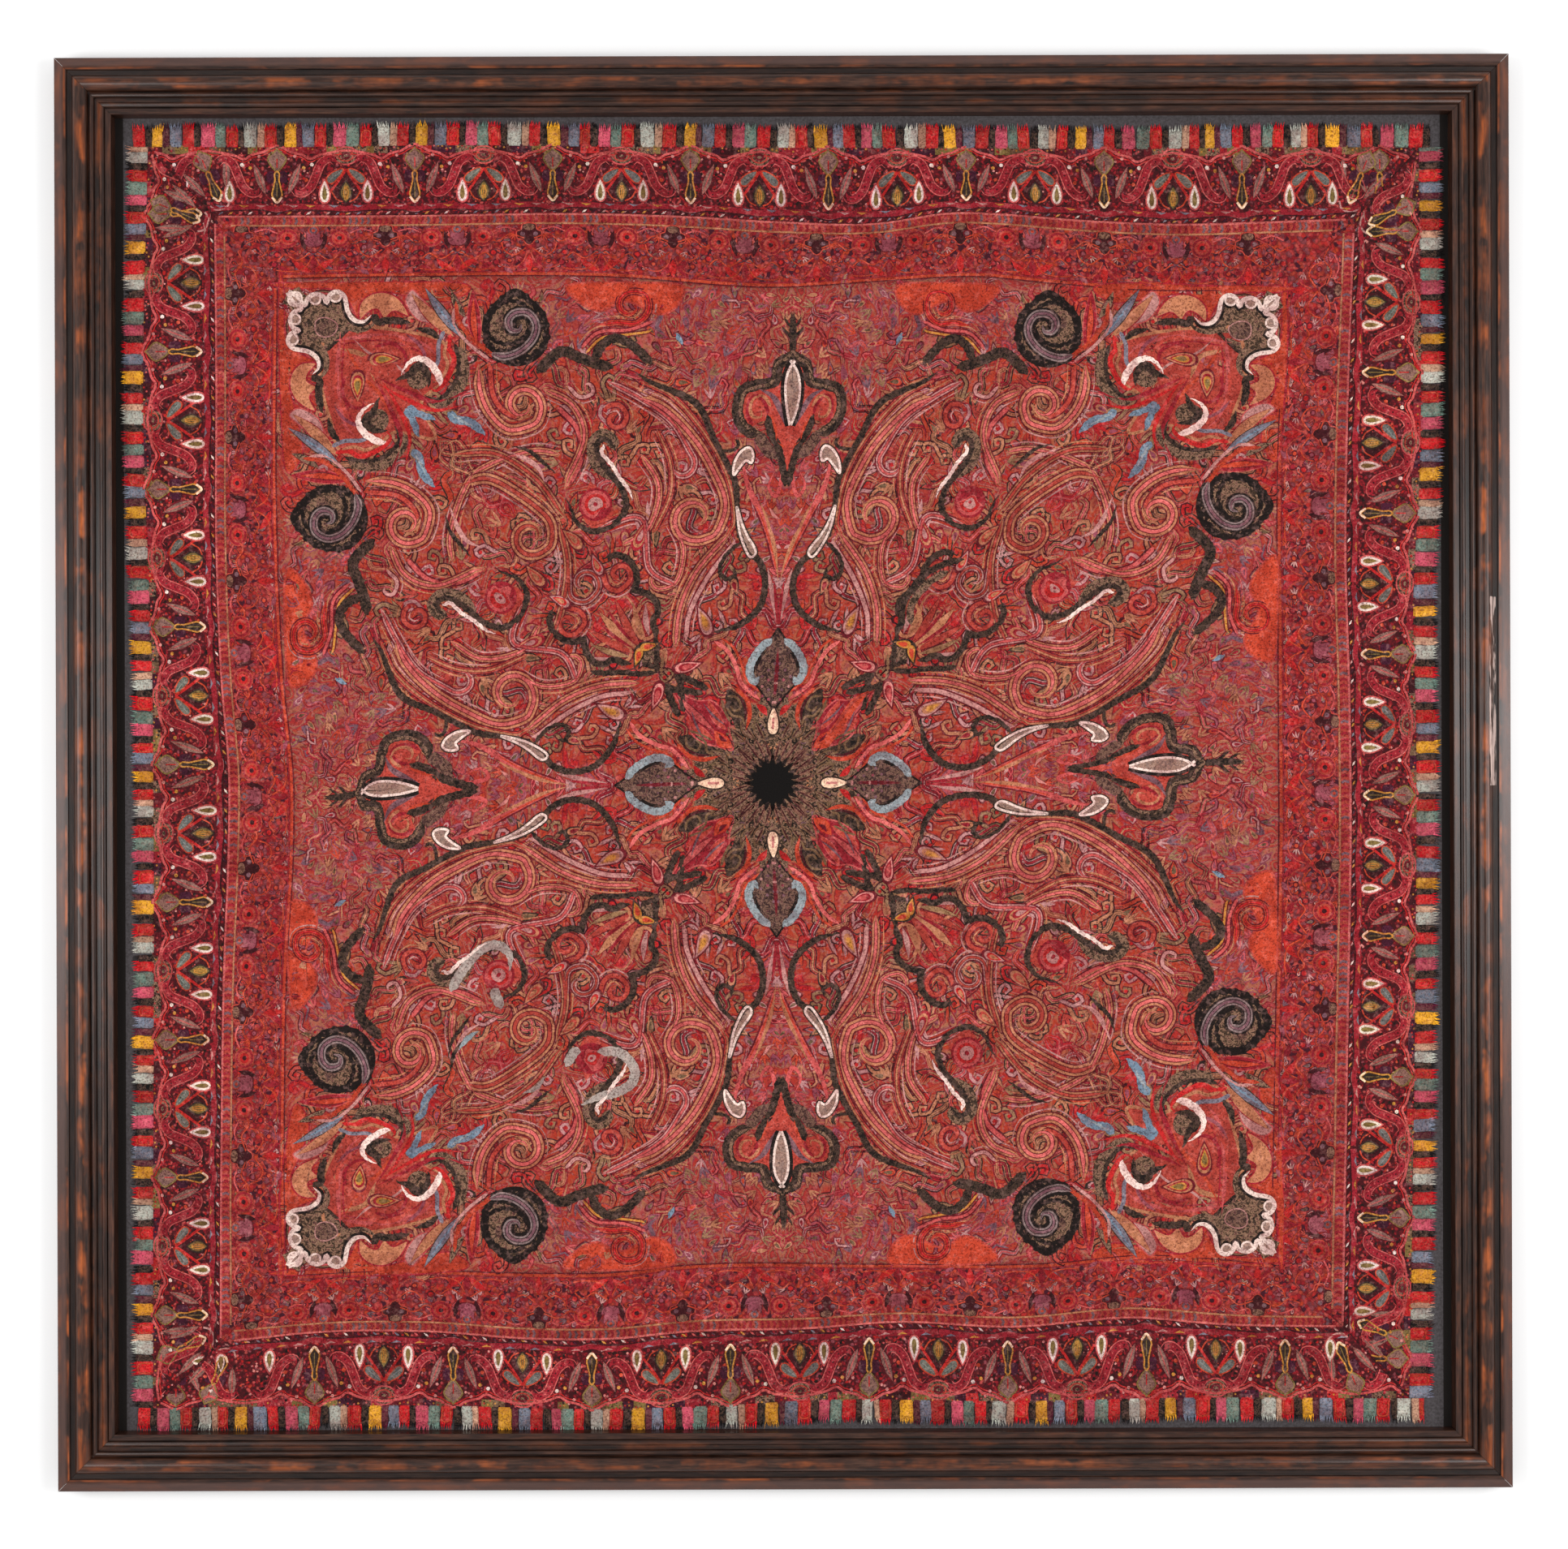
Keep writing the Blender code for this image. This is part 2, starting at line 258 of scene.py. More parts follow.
def even_place(points):
    """The place on the even pattern that the warp carries to these places on the cloth."""
    found = points - pull(points)
    for _ in range(4):
        found = points - pull(found)
    return found


def to_world(offsets):
    """Pixels from the pattern's middle to metres in the frame, with the photograph's slight roll."""
    x = (offsets[:, 0] + PATTERN_MIDDLE[0] - PHOTO_MIDDLE[0]) * PIXEL
    y = (offsets[:, 1] - PATTERN_MIDDLE[1] + PHOTO_MIDDLE[1]) * PIXEL
    return np.stack((x + y * PHOTO_ROLL, y - x * PHOTO_ROLL), axis=1)


def from_world(places):
    x = places[:, 0] - places[:, 1] * PHOTO_ROLL
    y = places[:, 1] + places[:, 0] * PHOTO_ROLL
    across = x / PIXEL - PATTERN_MIDDLE[0] + PHOTO_MIDDLE[0]
    up = y / PIXEL + PATTERN_MIDDLE[1] - PHOTO_MIDDLE[1]
    return np.stack((across, up), axis=1)


def charted(*pixels):
    """Photograph pixels in the upper left quarter, as places on the even pattern."""
    spots = np.array(pixels, float)
    offsets = np.stack((spots[:, 0] - PATTERN_MIDDLE[0], PATTERN_MIDDLE[1] - spots[:, 1]), axis=1)
    return even_place(offsets)


# Threadwork: flat shapes and crowned bands, gathered in arrays. Each shape lies a little over the last,
# in mm, so that no two share a plane. The field's main motifs start MOTIF_BASE over its small ones

LAYER_STEP = 0.0006
LAYERS = 160
MOTIF_BASE = 0.14

class Threadwork:
    """Shapes in pattern pixels with a lift in mm over the cloth and a colour at each point."""

    def __init__(self, base=0.0):
        self.base = base
        self.spots, self.lifts, self.colours = [], [], []
        self.triangles, self.quads = [], []
        self.count = 0

    def add(self, spots, lifts, colour, triangles=(), quads=()):
        spots = np.asarray(spots, float)
        shade = np.zeros(4)
        colour = THREADS[colour] if isinstance(colour, str) else colour
        shade[: len(colour)] = colour
        shade[:3] *= RNG.uniform(0.88, 1.12)
        layer = self.base + LAYER_STEP * (len(self.spots) % LAYERS)
        self.spots.append(spots)
        self.lifts.append(np.broadcast_to(np.asarray(lifts, float), (len(spots),)) + layer)
        self.colours.append(np.broadcast_to(shade, (len(spots), 4)))
        if len(triangles):
            self.triangles.append(np.asarray(triangles) + self.count)
        if len(quads):
            self.quads.append(np.asarray(quads) + self.count)
        self.count += len(spots)

    def arrays(self):
        triangles = np.concatenate(self.triangles) if self.triangles else np.zeros((0, 3), int)
        quads = np.concatenate(self.quads) if self.quads else np.zeros((0, 4), int)
        return (np.concatenate(self.spots), np.concatenate(self.lifts), np.concatenate(self.colours),
                triangles, quads)


def smooth_path(points, step=2.5, closed=False):
    """A Catmull-Rom curve through the points, with a point about every step."""
    p = np.asarray(points, float)
    if closed:
        around = np.vstack((p[-1:], p, p[:2]))
    else:
        around = np.vstack((2 * p[:1] - p[1:2], p, 2 * p[-1:] - p[-2:-1]))
    pieces = []
    for a, b, c, d in zip(around, around[1:], around[2:], around[3:]):
        n = max(1, round(float(np.linalg.norm(c - b)) / step))
        t = (np.arange(n) / n)[:, None]
        curve = 2 * b + (c - a) * t + (2 * a - 5 * b + 4 * c - d) * t**2 + (3 * b - a - 3 * c + d) * t**3
        pieces.append(curve / 2)
    if not closed:
        pieces.append(p[-1:])
    return np.vstack(pieces)


def normals_of(path, closed=False):
    if closed:
        way = np.roll(path, -1, axis=0) - np.roll(path, 1, axis=0)
    else:
        way = np.gradient(path, axis=0)
    way /= np.maximum(np.linalg.norm(way, axis=1), 1e-9)[:, None]
    return np.stack((-way[:, 1], way[:, 0]), axis=1)


def tapered(width, count, taper, least, power=1.0):
    """A width at each point of a path, narrowing over the given shares of its two ends."""
    share = np.linspace(0, 1, count)
    wide = np.full(count, float(width))
    for end, run in zip(taper, (share, 1 - share)):
        if end > 0:
            wide *= np.clip(run / end, least, 1) ** power
    return wide


def band(work, path, width, colour, lift=0.25, crown=0.25, taper=(0.0, 0.0), shift=0.0):
    """A crowned ribbon along a path, narrowing over the given shares of its length."""
    path = np.asarray(path, float)
    n = len(path)
    side = normals_of(path)
    wide = tapered(width, n, taper, 0.04, 0.7)
    path = path + side * shift
    half = (wide / 2)[:, None] * side
    spots = np.stack((path + half, path, path - half), axis=1).reshape(-1, 2)
    lifts = np.stack((np.full(n, lift), lift + crown * wide / width, np.full(n, lift)), axis=1).ravel()
    i = np.arange(n - 1)
    j = i + 1
    quads = np.concatenate((
        np.stack((3 * i, 3 * i + 1, 3 * j + 1, 3 * j), axis=1),
        np.stack((3 * i + 1, 3 * i + 2, 3 * j + 2, 3 * j + 1), axis=1),
    ))
    work.add(spots, lifts, colour, quads=quads)


def line(work, path, width, colour, lift=0.45, taper=(0.0, 0.0), closed=False, shift=0.0):
    """A flat hairline along a path."""
    path = np.asarray(path, float)
    n = len(path)
    side = normals_of(path, closed)
    wide = tapered(width, n, taper, 0.1)
    path = path + side * shift
    half = (wide / 2)[:, None] * side
    spots = np.stack((path + half, path - half), axis=1).reshape(-1, 2)
    i = np.arange(n if closed else n - 1)
    j = (i + 1) % n
    work.add(spots, lift, colour, quads=np.stack((2 * i, 2 * i + 1, 2 * j + 1, 2 * j), axis=1))


def patch(work, path, colour, lift=0.2, dome=0.15, rings=1):
    """A filled closed shape with a raised middle, in rings. Its middle sees all its edge."""
    path = np.asarray(path, float)
    n = len(path)
    if np.cross(path, np.roll(path, -1, axis=0)).sum() < 0:
        path = path[::-1]
    middle = path.mean(axis=0)
    shares = 1 - np.arange(rings) / rings
    spots = np.vstack([middle + (path - middle) * share for share in shares] + [middle])
    lifts = np.append(np.repeat(lift + dome * (1 - shares**2), n), lift + dome)
    i = np.arange(n)
    j = (i + 1) % n
    firsts = np.arange(rings - 1) * n
    quads = [np.stack((i + k, j + k, j + k + n, i + k + n), axis=1) for k in firsts]
    last = (rings - 1) * n
    fan = np.stack((i + last, j + last, np.full(n, rings * n)), axis=1)
    work.add(spots, lifts, colour, triangles=fan, quads=np.vstack(quads) if quads else ())


def sheet_patch(work, path, colour, lift=0.2):
    """A filled closed shape of any outline."""
    path = np.asarray(path, float)
    corners = np.array(tessellate_polygon([[Vector((x, y, 0.0)) for x, y in path]]))
    a, b, c = path[corners[:, 0]], path[corners[:, 1]], path[corners[:, 2]]
    upside = np.cross(b - a, c - a) < 0
    corners[upside] = corners[upside][:, ::-1]
    work.add(path, lift, colour, triangles=corners)


def turned(points, angle):
    c, s = math.cos(angle), math.sin(angle)
    return np.asarray(points, float) @ np.array(((c, s), (-s, c)))


def boteh_path(middle, length, angle, curl=0.5, fat=0.42, steps=26):
    """The outline of a paisley drop: round below, with a bent tip that points along the angle."""
    t = np.linspace(0, 2 * math.pi, steps, endpoint=False)
    x = -np.cos(t) * 0.5
    swell = np.clip(0.5 - x, 0, 1)
    reach = np.clip(x + 0.1, 0, 1)
    y = np.sin(t) * fat * swell**0.55 + curl * reach**1.8
    return turned(np.stack((x, y), axis=1) * length, angle) + middle


def leaf_path(base, tip, width, bend=0.0, steps=9):
    """A pointed oval from base to tip, bent to one side."""
    base, tip = np.asarray(base, float), np.asarray(tip, float)
    t = np.linspace(0, 1, steps)
    swell = np.sin(math.pi * t**0.9) * width / 2
    way = tip - base
    side = np.array((-way[1], way[0])) / max(float(np.hypot(*way)), 1e-6)
    spine = base + way * t[:, None] + side * (bend * np.sin(math.pi * t))[:, None]
    left = spine + side * swell[:, None]
    right = spine - side * swell[:, None]
    return np.vstack((left, right[-2:0:-1]))


def spiral_path(middle, start, turns, end_share=0.12, hand=1, step=2.2):
    """A spiral that winds inwards from the start point."""
    middle, start = np.asarray(middle, float), np.asarray(start, float)
    radius = float(np.hypot(*(start - middle)))
    first = math.atan2(*(start - middle)[::-1])
    n = max(12, round(radius * turns * math.pi / step))
    t = np.linspace(0, 1, n)
    r = radius * (1 - (1 - end_share) * t**0.85)
    a = first + hand * 2 * math.pi * turns * t
    return middle + np.stack((r * np.cos(a), r * np.sin(a)), axis=1)


def circle_path(middle, radius, steps=14, squash=1.0):
    a = np.linspace(0, 2 * math.pi, steps, endpoint=False)
    return np.asarray(middle, float) + np.stack((radius * np.cos(a), radius * squash * np.sin(a)), axis=1)


def scalloped(path, height, pitch, closed=False, flip=1):
    """Round bumps raised from a smooth path."""
    side = normals_of(path, closed) * flip
    steps = np.linalg.norm(np.diff(path, axis=0), axis=1)
    run = np.concatenate(((0,), np.cumsum(steps)))
    count = max(1, round(run[-1] / pitch))
    bump = np.abs(np.sin(math.pi * count * run / run[-1]))
    return path + side * (height * bump)[:, None]


def dot(work, middle, radius, colour, lift=0.35, dome=0.3, steps=6):
    patch(work, circle_path(middle, radius, steps), colour, lift, dome)


def grid_quads(index):
    """The four corners of each cell of a grid of point numbers."""
    corners = (index[:-1, :-1], index[:-1, 1:], index[1:, 1:], index[1:, :-1])
    return np.stack(corners, axis=-1).reshape(-1, 4)


def build_piece(name, work, place, material, copies=None):
    """A mesh of the threadwork. place turns pattern pixels into metres on the cloth."""
    spots, lifts, colours, triangles, quads = work.arrays()
    copies = copies or (np.eye(2),)
    points, shades, tris, fours = [], [], [], []
    for number, change in enumerate(copies):
        world = place(spots @ np.asarray(change).T)
        height = cloth_top(world[:, 0], world[:, 1]) + lifts * MM
        points.append(np.column_stack((world, height)))
        shades.append(colours)
        flip = -1 if np.linalg.det(change) < 0 else 1
        tris.append((triangles + number * len(spots))[:, ::flip])
        fours.append((quads + number * len(spots))[:, ::flip])
    joined = (np.vstack(rows) for rows in (points, tris, fours, shades))
    return mesh_object(name, *joined, material)


def mesh_object(name, points, triangles, quads, colours, material):
    mesh = bpy.data.meshes.new(name)
    mesh.vertices.add(len(points))
    mesh.vertices.foreach_set("co", points.ravel())
    corners = np.concatenate((triangles.ravel(), quads.ravel())).astype(np.int32)
    mesh.loops.add(len(corners))
    mesh.loops.foreach_set("vertex_index", corners)
    starts = np.concatenate((
        np.arange(len(triangles)) * 3, 3 * len(triangles) + np.arange(len(quads)) * 4,
    )).astype(np.int32)
    mesh.polygons.add(len(starts))
    mesh.polygons.foreach_set("loop_start", starts)
    mesh.update(calc_edges=True)
    if colours is not None:
        layer = mesh.color_attributes.new("thread", "FLOAT_COLOR", "POINT")
        layer.data.foreach_set("color", colours.ravel())
    mesh.shade_smooth()
    mesh.materials.append(material)
    obj = bpy.data.objects.new(name, mesh)
    bpy.context.scene.collection.objects.link(obj)
    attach(obj, "root")
    return obj


# Motifs of the field, charted in photograph pixels of its upper left quarter

THIN = (0.08, 0.08)
BLUNT = (0.06, 0.25)
POINTED = (0.4, 0.4)

# How far a curl's echoes lie from its edges, in pixels
ECHO_GAP = 4
# The stripe down the middle of a curl wider than HEART_FROM pixels, by the curl's own colour
HEARTS = {"tan": "pale_rose", "salmon": "tan", "orange": "red", "grey_pink": "rose"}
HEART_FROM = 7.5
# Thick yarns whose bands wave a little from side to side
THICK_YARNS = ("dark", "sky", "pale_blue", "white", "bleached")


def ribbon(work, path, width, body, edge="crimson", heart=None, lift=0.2, crown=0.2, taper=(0.0, 0.0)):
    """A stitched band with a hairline along each edge and, if asked, a stripe down its middle."""
    band(work, path, width, body, lift, crown, taper)
    for hand in (-1, 1):
        line(work, path, 1.7, edge, lift + 0.06, taper, shift=hand * width / 2)
    if heart:
        line(work, path, width * 0.46, edge, lift + crown + 0.02, taper)
        line(work, path, width * 0.30, heart, lift + crown + 0.05, taper)


def curl(work, points, middle, turns, width, body, edge="crimson", heart=None, lift=0.2):
    """A ribbon along the points that ends in a spiral round the middle, with an echo along each side."""
    way, middle = charted(*points), charted_spot(middle)
    last, before = way[-1], way[-2]
    hand = 1 if np.cross(last - middle, last - before) > 0 else -1
    wound = spiral_path(middle, last, turns, 0.25, hand)
    path = smooth_path(np.vstack((way[:-1], wound[::3])), 4.0)
    ribbon(work, path, width, body, edge, heart, lift, taper=(0.1, 0.15))
    outer_part = path[: len(path) * 2 // 3]
    for side, echo in ((1, "tan"), (-1, "grey_pink")):
        line(work, outer_part, 2.0, echo, lift - 0.1, (0.3, 0.3), shift=side * (width / 2 + ECHO_GAP))


def charted_path(points, step=3.0, closed=False):
    """A smooth way through charted points."""
    return smooth_path(charted(*points), step, closed)


def charted_spot(place):
    return charted(place)[0]


def strokes(work, *rows):
    """Bands along charted points. Columns: colour, width, lift, tapers, points."""
    for colour, width, lift, taper, *points in rows:
        way = charted_path(points)
        if colour in THICK_YARNS:
            way = scalloped(way, 1.2, 4.5)
        band(work, way, width, colour, lift, 0.2, taper)


def leaves(work, *rows):
    """Leaves, each on a slightly larger one. Columns: colour, edge, width, lift, base, tip."""
    for colour, edge, width, lift, base, tip in rows:
        ends = charted(base, tip)
        patch(work, leaf_path(*ends, width + 2.5, 2, 13), edge, lift, 0.02)
        patch(work, leaf_path(*ends, width, 2, 13), colour, lift + 0.07, 0.1)


def shapes(work, *rows):
    """Filled outlines with a line along them. Columns: colour, edge, edge's width, lift, points."""
    for colour, edge, width, lift, *points in rows:
        outline = charted_path(points, closed=True)
        sheet_patch(work, outline, colour, lift)
        line(work, outline, width, edge, lift + 0.06, closed=True)


def half_shape(work, colour, lift, *points):
    """One half of a shape that lies across an arm's middle line, filled from its contour to that line."""
    contour = charted_path(points)
    sheet_patch(work, np.vstack((contour, (0.0, contour[-1, 1]), (0.0, contour[0, 1]))), colour, lift)
    return contour


def drop(work, middle, length, angle, rings, curl_by=0.3, lift=0.3, fat=0.42, steps=26):
    """A boteh made of drops inside each other, one colour for each."""
    for number, colour in enumerate(rings):
        size = length * (1 - 0.84 * number / len(rings))
        outline = boteh_path(middle, size, angle, curl_by, fat, steps)
        patch(work, outline, colour, lift + 0.05 * number, 0.1)


# Rings of the round eye inside a hook. Columns: radius, colour
EYE_RINGS = ((20, "crimson"), (17, "rose"), (13, "red"), (9, "grey_pink"), (4, "crimson"))
# The figure's long dark outline, and the hooks and stems near it. Columns as in strokes()
OUTLINE_STROKES = (
    ("dark", 13, 0.5, THIN, (662, 461), (690, 435), (714, 442), (736, 450), (756, 454)),
    ("dark", 11, 0.5, THIN, (733, 446), (742, 427), (759, 418), (779, 427), (803, 450)),
    ("dark", 8, 0.5, THIN, (785, 461), (806, 475), (857, 498), (880, 544), (904, 592), (907, 626),
     (911, 656), (922, 682), (935, 692), (942, 718), (935, 748), (910, 770), (880, 778)),
    ("dark", 5, 0.5, THIN, (912, 668), (894, 684), (886, 702), (894, 715), (906, 709), (905, 700)),
    ("dark", 4, 0.5, THIN, (887, 558), (905, 555), (911, 546), (906, 542)),
    ("speck_khaki", 14, 0.40, BLUNT, (757, 555), (754, 542), (743, 536), (732, 545), (731, 560),
     (738, 577), (752, 592)),
    ("dark", 7.5, 0.5, BLUNT, (759, 556), (755, 546), (744, 540), (735, 547), (736, 561), (750, 583),
     (765, 602), (771, 624), (762, 641), (745, 651), (728, 654), (711, 643), (703, 622), (697, 614)),
    ("white", 4.6, 0.72, BLUNT, (744, 548), (741, 559), (753, 573), (762, 588), (774, 604), (779, 617)),
    ("dark", 8, 0.5, THIN, (753, 693), (751, 687), (761, 685), (774, 691), (783, 704), (784, 719),
     (781, 728), (794, 731), (807, 741), (810, 754), (804, 765), (807, 778), (808, 789)),
    ("dark", 6.5, 0.5, THIN, (807, 802), (811, 818)),
    ("speck_khaki", 13, 0.34, THIN, (800, 803), (797, 820)),
    ("dark", 5, 0.5, POINTED, (631, 551), (652, 557), (668, 570), (684, 584)),
    ("grey_pink", 6, 0.42, POINTED, (622, 556), (648, 566), (664, 578), (672, 596)),
    ("dark", 9, 0.5, BLUNT, (459, 388), (466, 398), (482, 396), (506, 399)),
    ("dark", 8, 0.5, POINTED, (512, 406), (530, 410), (544, 421)),
    ("speck_khaki", 13, 0.40, BLUNT, (566, 428), (572, 455), (566, 478), (544, 497), (524, 490)),
    ("dark", 5, 0.5, BLUNT, (560, 424), (565, 445), (560, 472), (542, 491), (523, 487)),
)


def outline_strokes(work):
    """The long dark outline of the figure, and the hooks and stems near it."""
    strokes(work, *OUTLINE_STROKES)
    middle = charted_spot((734, 622))
    drop(work, middle, 58, 1.9, ("salmon", "grey_pink"), -0.1, 0.28, 0.42)
    for radius, colour in EYE_RINGS:
        patch(work, circle_path(middle, radius, 22), colour, 0.42 + 0.003 * (20 - radius), 0.05)
    drop(work, charted_spot((800, 797)), 30, 0.1, ("dark", "ochre", "orange"), 0.25, 0.6, 0.3)


# The rosette's ground, the round of its rim, the line inside it and its spiral
ROSETTE_GROUND = (
    (636, 359), (654, 372), (668, 386), (673, 402), (672, 425), (660, 441), (638, 449), (615, 443),
    (602, 426), (598, 406), (603, 386), (618, 370),
)
ROSETTE_RIM = ((636, 362), (668, 386), (672, 425), (638, 446), (602, 426), (603, 386))
ROSETTE_LINE = (
    (648, 400), (648, 411), (636, 421), (620, 423), (604, 414), (604, 396), (611, 383), (627, 373),
    (643, 376), (656, 386),
)
ROSETTE_SWIRL = (
    (604, 436), (622, 440), (642, 433), (657, 418), (661, 401), (652, 387), (636, 386), (627, 395),
    (630, 407), (640, 408), (643, 400),
)


def rosette(work):
    """The dark round flower with a spiral inside, beside each corner."""
    shapes(work, ("speck_khaki", "black", 6.0, 0.36, *ROSETTE_GROUND))
    rim = charted_path(ROSETTE_RIM, 2.0, True)
    line(work, scalloped(rim, 4.0, 13, True, -1), 4.0, "black", 0.5, closed=True)
    line(work, scalloped(charted_path(ROSETTE_LINE), 2.0, 9), 5.0, "black", 0.56, (0.1, 0.1))
    swirl = charted_path(ROSETTE_SWIRL)
    line(work, scalloped(swirl, 1.5, 6), 17, "black", 0.58, (0.05, 0.1))
    ribbon(work, swirl, 11.5, "swirl_grey", "black", "plum_grey", 0.62, 0.25, (0.1, 0.2))
    for spot in rim[::7]:
        dot(work, spot, 4.6, "black", 0.52, 0.15, 8)
    dot(work, charted_spot((620, 396)), 8, "speck_plum", 0.5, 0.1, 9)


# The pale edge of the corner finial, and the discs along it with their radii
FINIAL_EDGE = (
    (458, 389), (449, 397), (437, 395), (429, 384), (425, 366), (416, 360), (407, 364), (403, 374),
    (399, 366), (389, 363), (380, 368), (376, 377), (367, 366), (356, 360),
)
FINIAL_DISCS = (((389, 369), 8), ((414, 366), 8), ((365, 368), 9))
# Orange ground at the margin, and the tan and pink fillings of the finial. Columns as in shapes()
FINIAL_SHAPES = (
    ("orange", "crimson", 1.5, 0.12, (346, 349), (566, 349), (556, 372), (505, 366), (470, 360),
     (446, 372), (441, 392), (430, 372), (410, 357), (356, 356)),
    ("orange", "salmon", 2.5, 0.12, (700, 352), (770, 349), (838, 352), (836, 376), (812, 388), (772, 372),
     (740, 384), (712, 372)),
    ("tan", "crimson", 1.8, 0.30, (444, 394), (444, 376), (456, 364), (475, 361), (493, 370), (504, 390),
     (486, 384), (474, 393), (466, 382), (456, 384)),
    ("grey_pink", "rose", 1.6, 0.28, (500, 372), (508, 358), (520, 368), (546, 396), (566, 412),
     (540, 402), (514, 394)),
)
# Leaves beside the finial. Columns as in leaves()
FINIAL_LEAVES = (
    ("slate", "dark", 11, 0.46, (571, 418), (524, 355)),
    ("tan", "crimson", 13, 0.36, (560, 416), (507, 362)),
    ("crimson", "rose", 15, 0.34, (590, 430), (583, 356)),
    ("orange", "wine", 7, 0.5, (588, 424), (584, 368)),
    ("speck_khaki", "wine", 9, 0.3, (574, 392), (556, 358)),
)
# Stems beside the finial. Columns as in strokes()
FINIAL_STROKES = (
    ("sky", 2.6, 0.66, POINTED, (566, 412), (548, 388), (534, 368)),
    ("orange", 5, 0.52, THIN, (562, 372), (566, 396), (584, 420), (611, 440)),
    ("grey_pink", 4, 0.5, THIN, (560, 380), (560, 402), (580, 426), (604, 444)),
    ("slate", 5, 0.42, BLUNT, (548, 408), (541, 424), (540, 446), (532, 460)),
    ("red", 6, 0.46, BLUNT, (556, 412), (553, 428), (560, 444), (551, 468), (538, 482), (529, 477)),
    ("tan", 4, 0.52, BLUNT, (552, 420), (548, 436), (552, 450), (545, 466), (534, 472)),
)
# The white hook, the lines round the ochre boteh and the two red lines under them
HOOK_STROKES = (
    ("crimson", 4, 0.4, BLUNT, (462, 428), (482, 424), (498, 434), (500, 448), (490, 450)),
    ("salmon", 4, 0.4, BLUNT, (455, 418), (484, 416), (504, 428), (508, 444)),
    ("dark", 11, 0.46, POINTED, (488, 470), (506, 462), (517, 452), (527, 462), (528, 478)),
    ("white", 8.5, 0.66, (0.6, 0.1), (495, 463), (504, 449), (517, 443), (531, 450), (541, 466),
     (542, 476)),
    ("crimson", 6, 0.4, POINTED, (466, 466), (500, 482), (540, 495), (582, 480)),
    ("red", 5, 0.4, POINTED, (468, 474), (500, 492), (536, 506), (570, 500)),
)


def corner_finial(work):
    """The pale scalloped edge of each corner's finial, and the leaves beside it."""
    tail = charted_path(FINIAL_EDGE, 2.5)
    line(work, tail, 14, "speck_khaki", 0.34, (0.2, 0.0), shift=9.0)
    band(work, tail, 6, "black", 0.42, 0.1, (0.1, 0.0), shift=3.0)
    for middle, radius in FINIAL_DISCS:
        spot = charted_spot(middle)
        patch(work, circle_path(spot, radius, 14), "ring_grey", 0.5, 0.1)
        line(work, circle_path(spot, radius - 1.5, 14), 2.4, "white", 0.62, closed=True)
    band(work, tail, 5.4, "white", 0.72, 0.4, (0.15, 0.0))
    shapes(work, *FINIAL_SHAPES)
    leaves(work, *FINIAL_LEAVES)
    strokes(work, *FINIAL_STROKES)
    rings = ("wine", "tan", "crimson", "ochre", "olive")
    drop(work, charted_spot((474, 443)), 42, 0.1, rings, -0.15, 0.3, 0.3)
    strokes(work, *HOOK_STROKES)
    patch(work, circle_path(charted_spot((516, 466)), 14, 16), "speck_khaki", 0.40, 0.1)


# Curled bands of an octant. Columns: points, middle of the spiral, turns, width, colour
SCROLLS = (
    (((590, 449), (592, 482), (604, 510), (627, 530), (657, 524)), (644, 500), 1.3, 14, "tan"),
    (((604, 449), (607, 484), (618, 504), (634, 514)), (646, 500), 0.1, 7, "salmon"),
    (((778, 487), (818, 504), (856, 542), (879, 580), (894, 620), (884, 655)), (856, 638), 1.2, 14, "tan"),
    (((788, 470), (830, 490), (872, 540), (897, 590), (905, 640)), (868, 668), 0.15, 8, "salmon"),
    (((832, 800), (838, 750), (858, 705), (893, 664)), (905, 655), 0.05, 11, "tan"),
    (((845, 790), (850, 755), (872, 712), (903, 672)), (905, 660), 0.05, 7, "grey_pink"),
    (((744, 505), (752, 500), (764, 500), (772, 512)), (758, 517), 0.9, 7, "salmon"),
    (((740, 650), (790, 640), (800, 700), (830, 720)), (835, 725), 0.05, 9, "grey_pink"),
    (((670, 480), (706, 500), (720, 540), (700, 590)), (690, 610), 0.05, 10, "tan"),
    (((700, 476), (714, 490), (730, 486)), (722, 478), 0.5, 5, "grey_pink"),
    (((790, 560), (812, 600), (800, 650), (770, 670)), (765, 672), 0.05, 9, "tan"),
    (((810, 530), (826, 570), (826, 610), (808, 650)), (800, 660), 0.05, 8, "salmon"),
    (((738, 401), (760, 398), (784, 399), (799, 384), (797, 365)), (778, 378), 0.9, 8, "orange"),
    (((716, 430), (738, 410), (775, 407), (800, 398)), (806, 394), 0.05, 5, "rose"),
    (((722, 436), (742, 417), (772, 413), (796, 410)), (806, 404), 0.05, 4, "ochre"),
    (((690, 560), (660, 556), (620, 566), (590, 580)), (580, 590), 0.05, 9, "tan"),
    (((700, 600), (716, 566), (712, 530), (690, 505)), (686, 500), 0.05, 7, "rose"),
    (((748, 470), (790, 492), (828, 520), (850, 556)), (838, 574), 0.8, 9, "grey_pink"),
    (((742, 700), (748, 722), (762, 728), (776, 716)), (763, 708), 0.9, 7, "salmon"),
    (((790, 745), (780, 768), (790, 786)), (800, 776), 0.6, 6, "tan"),
    (((826, 640), (842, 676), (834, 716), (812, 726)), (812, 712), 0.6, 8, "tan"),
)
# Halves of the fleur's body and of the pale eye in it
FLEUR_BODY = (
    (978, 436), (960, 452), (952, 474), (920, 484), (912, 504), (924, 526), (944, 520), (958, 552),
    (967, 596),
)
FLEUR_EYE = ((979, 444), (971, 456), (967, 472), (967, 491), (969, 509), (972, 525))
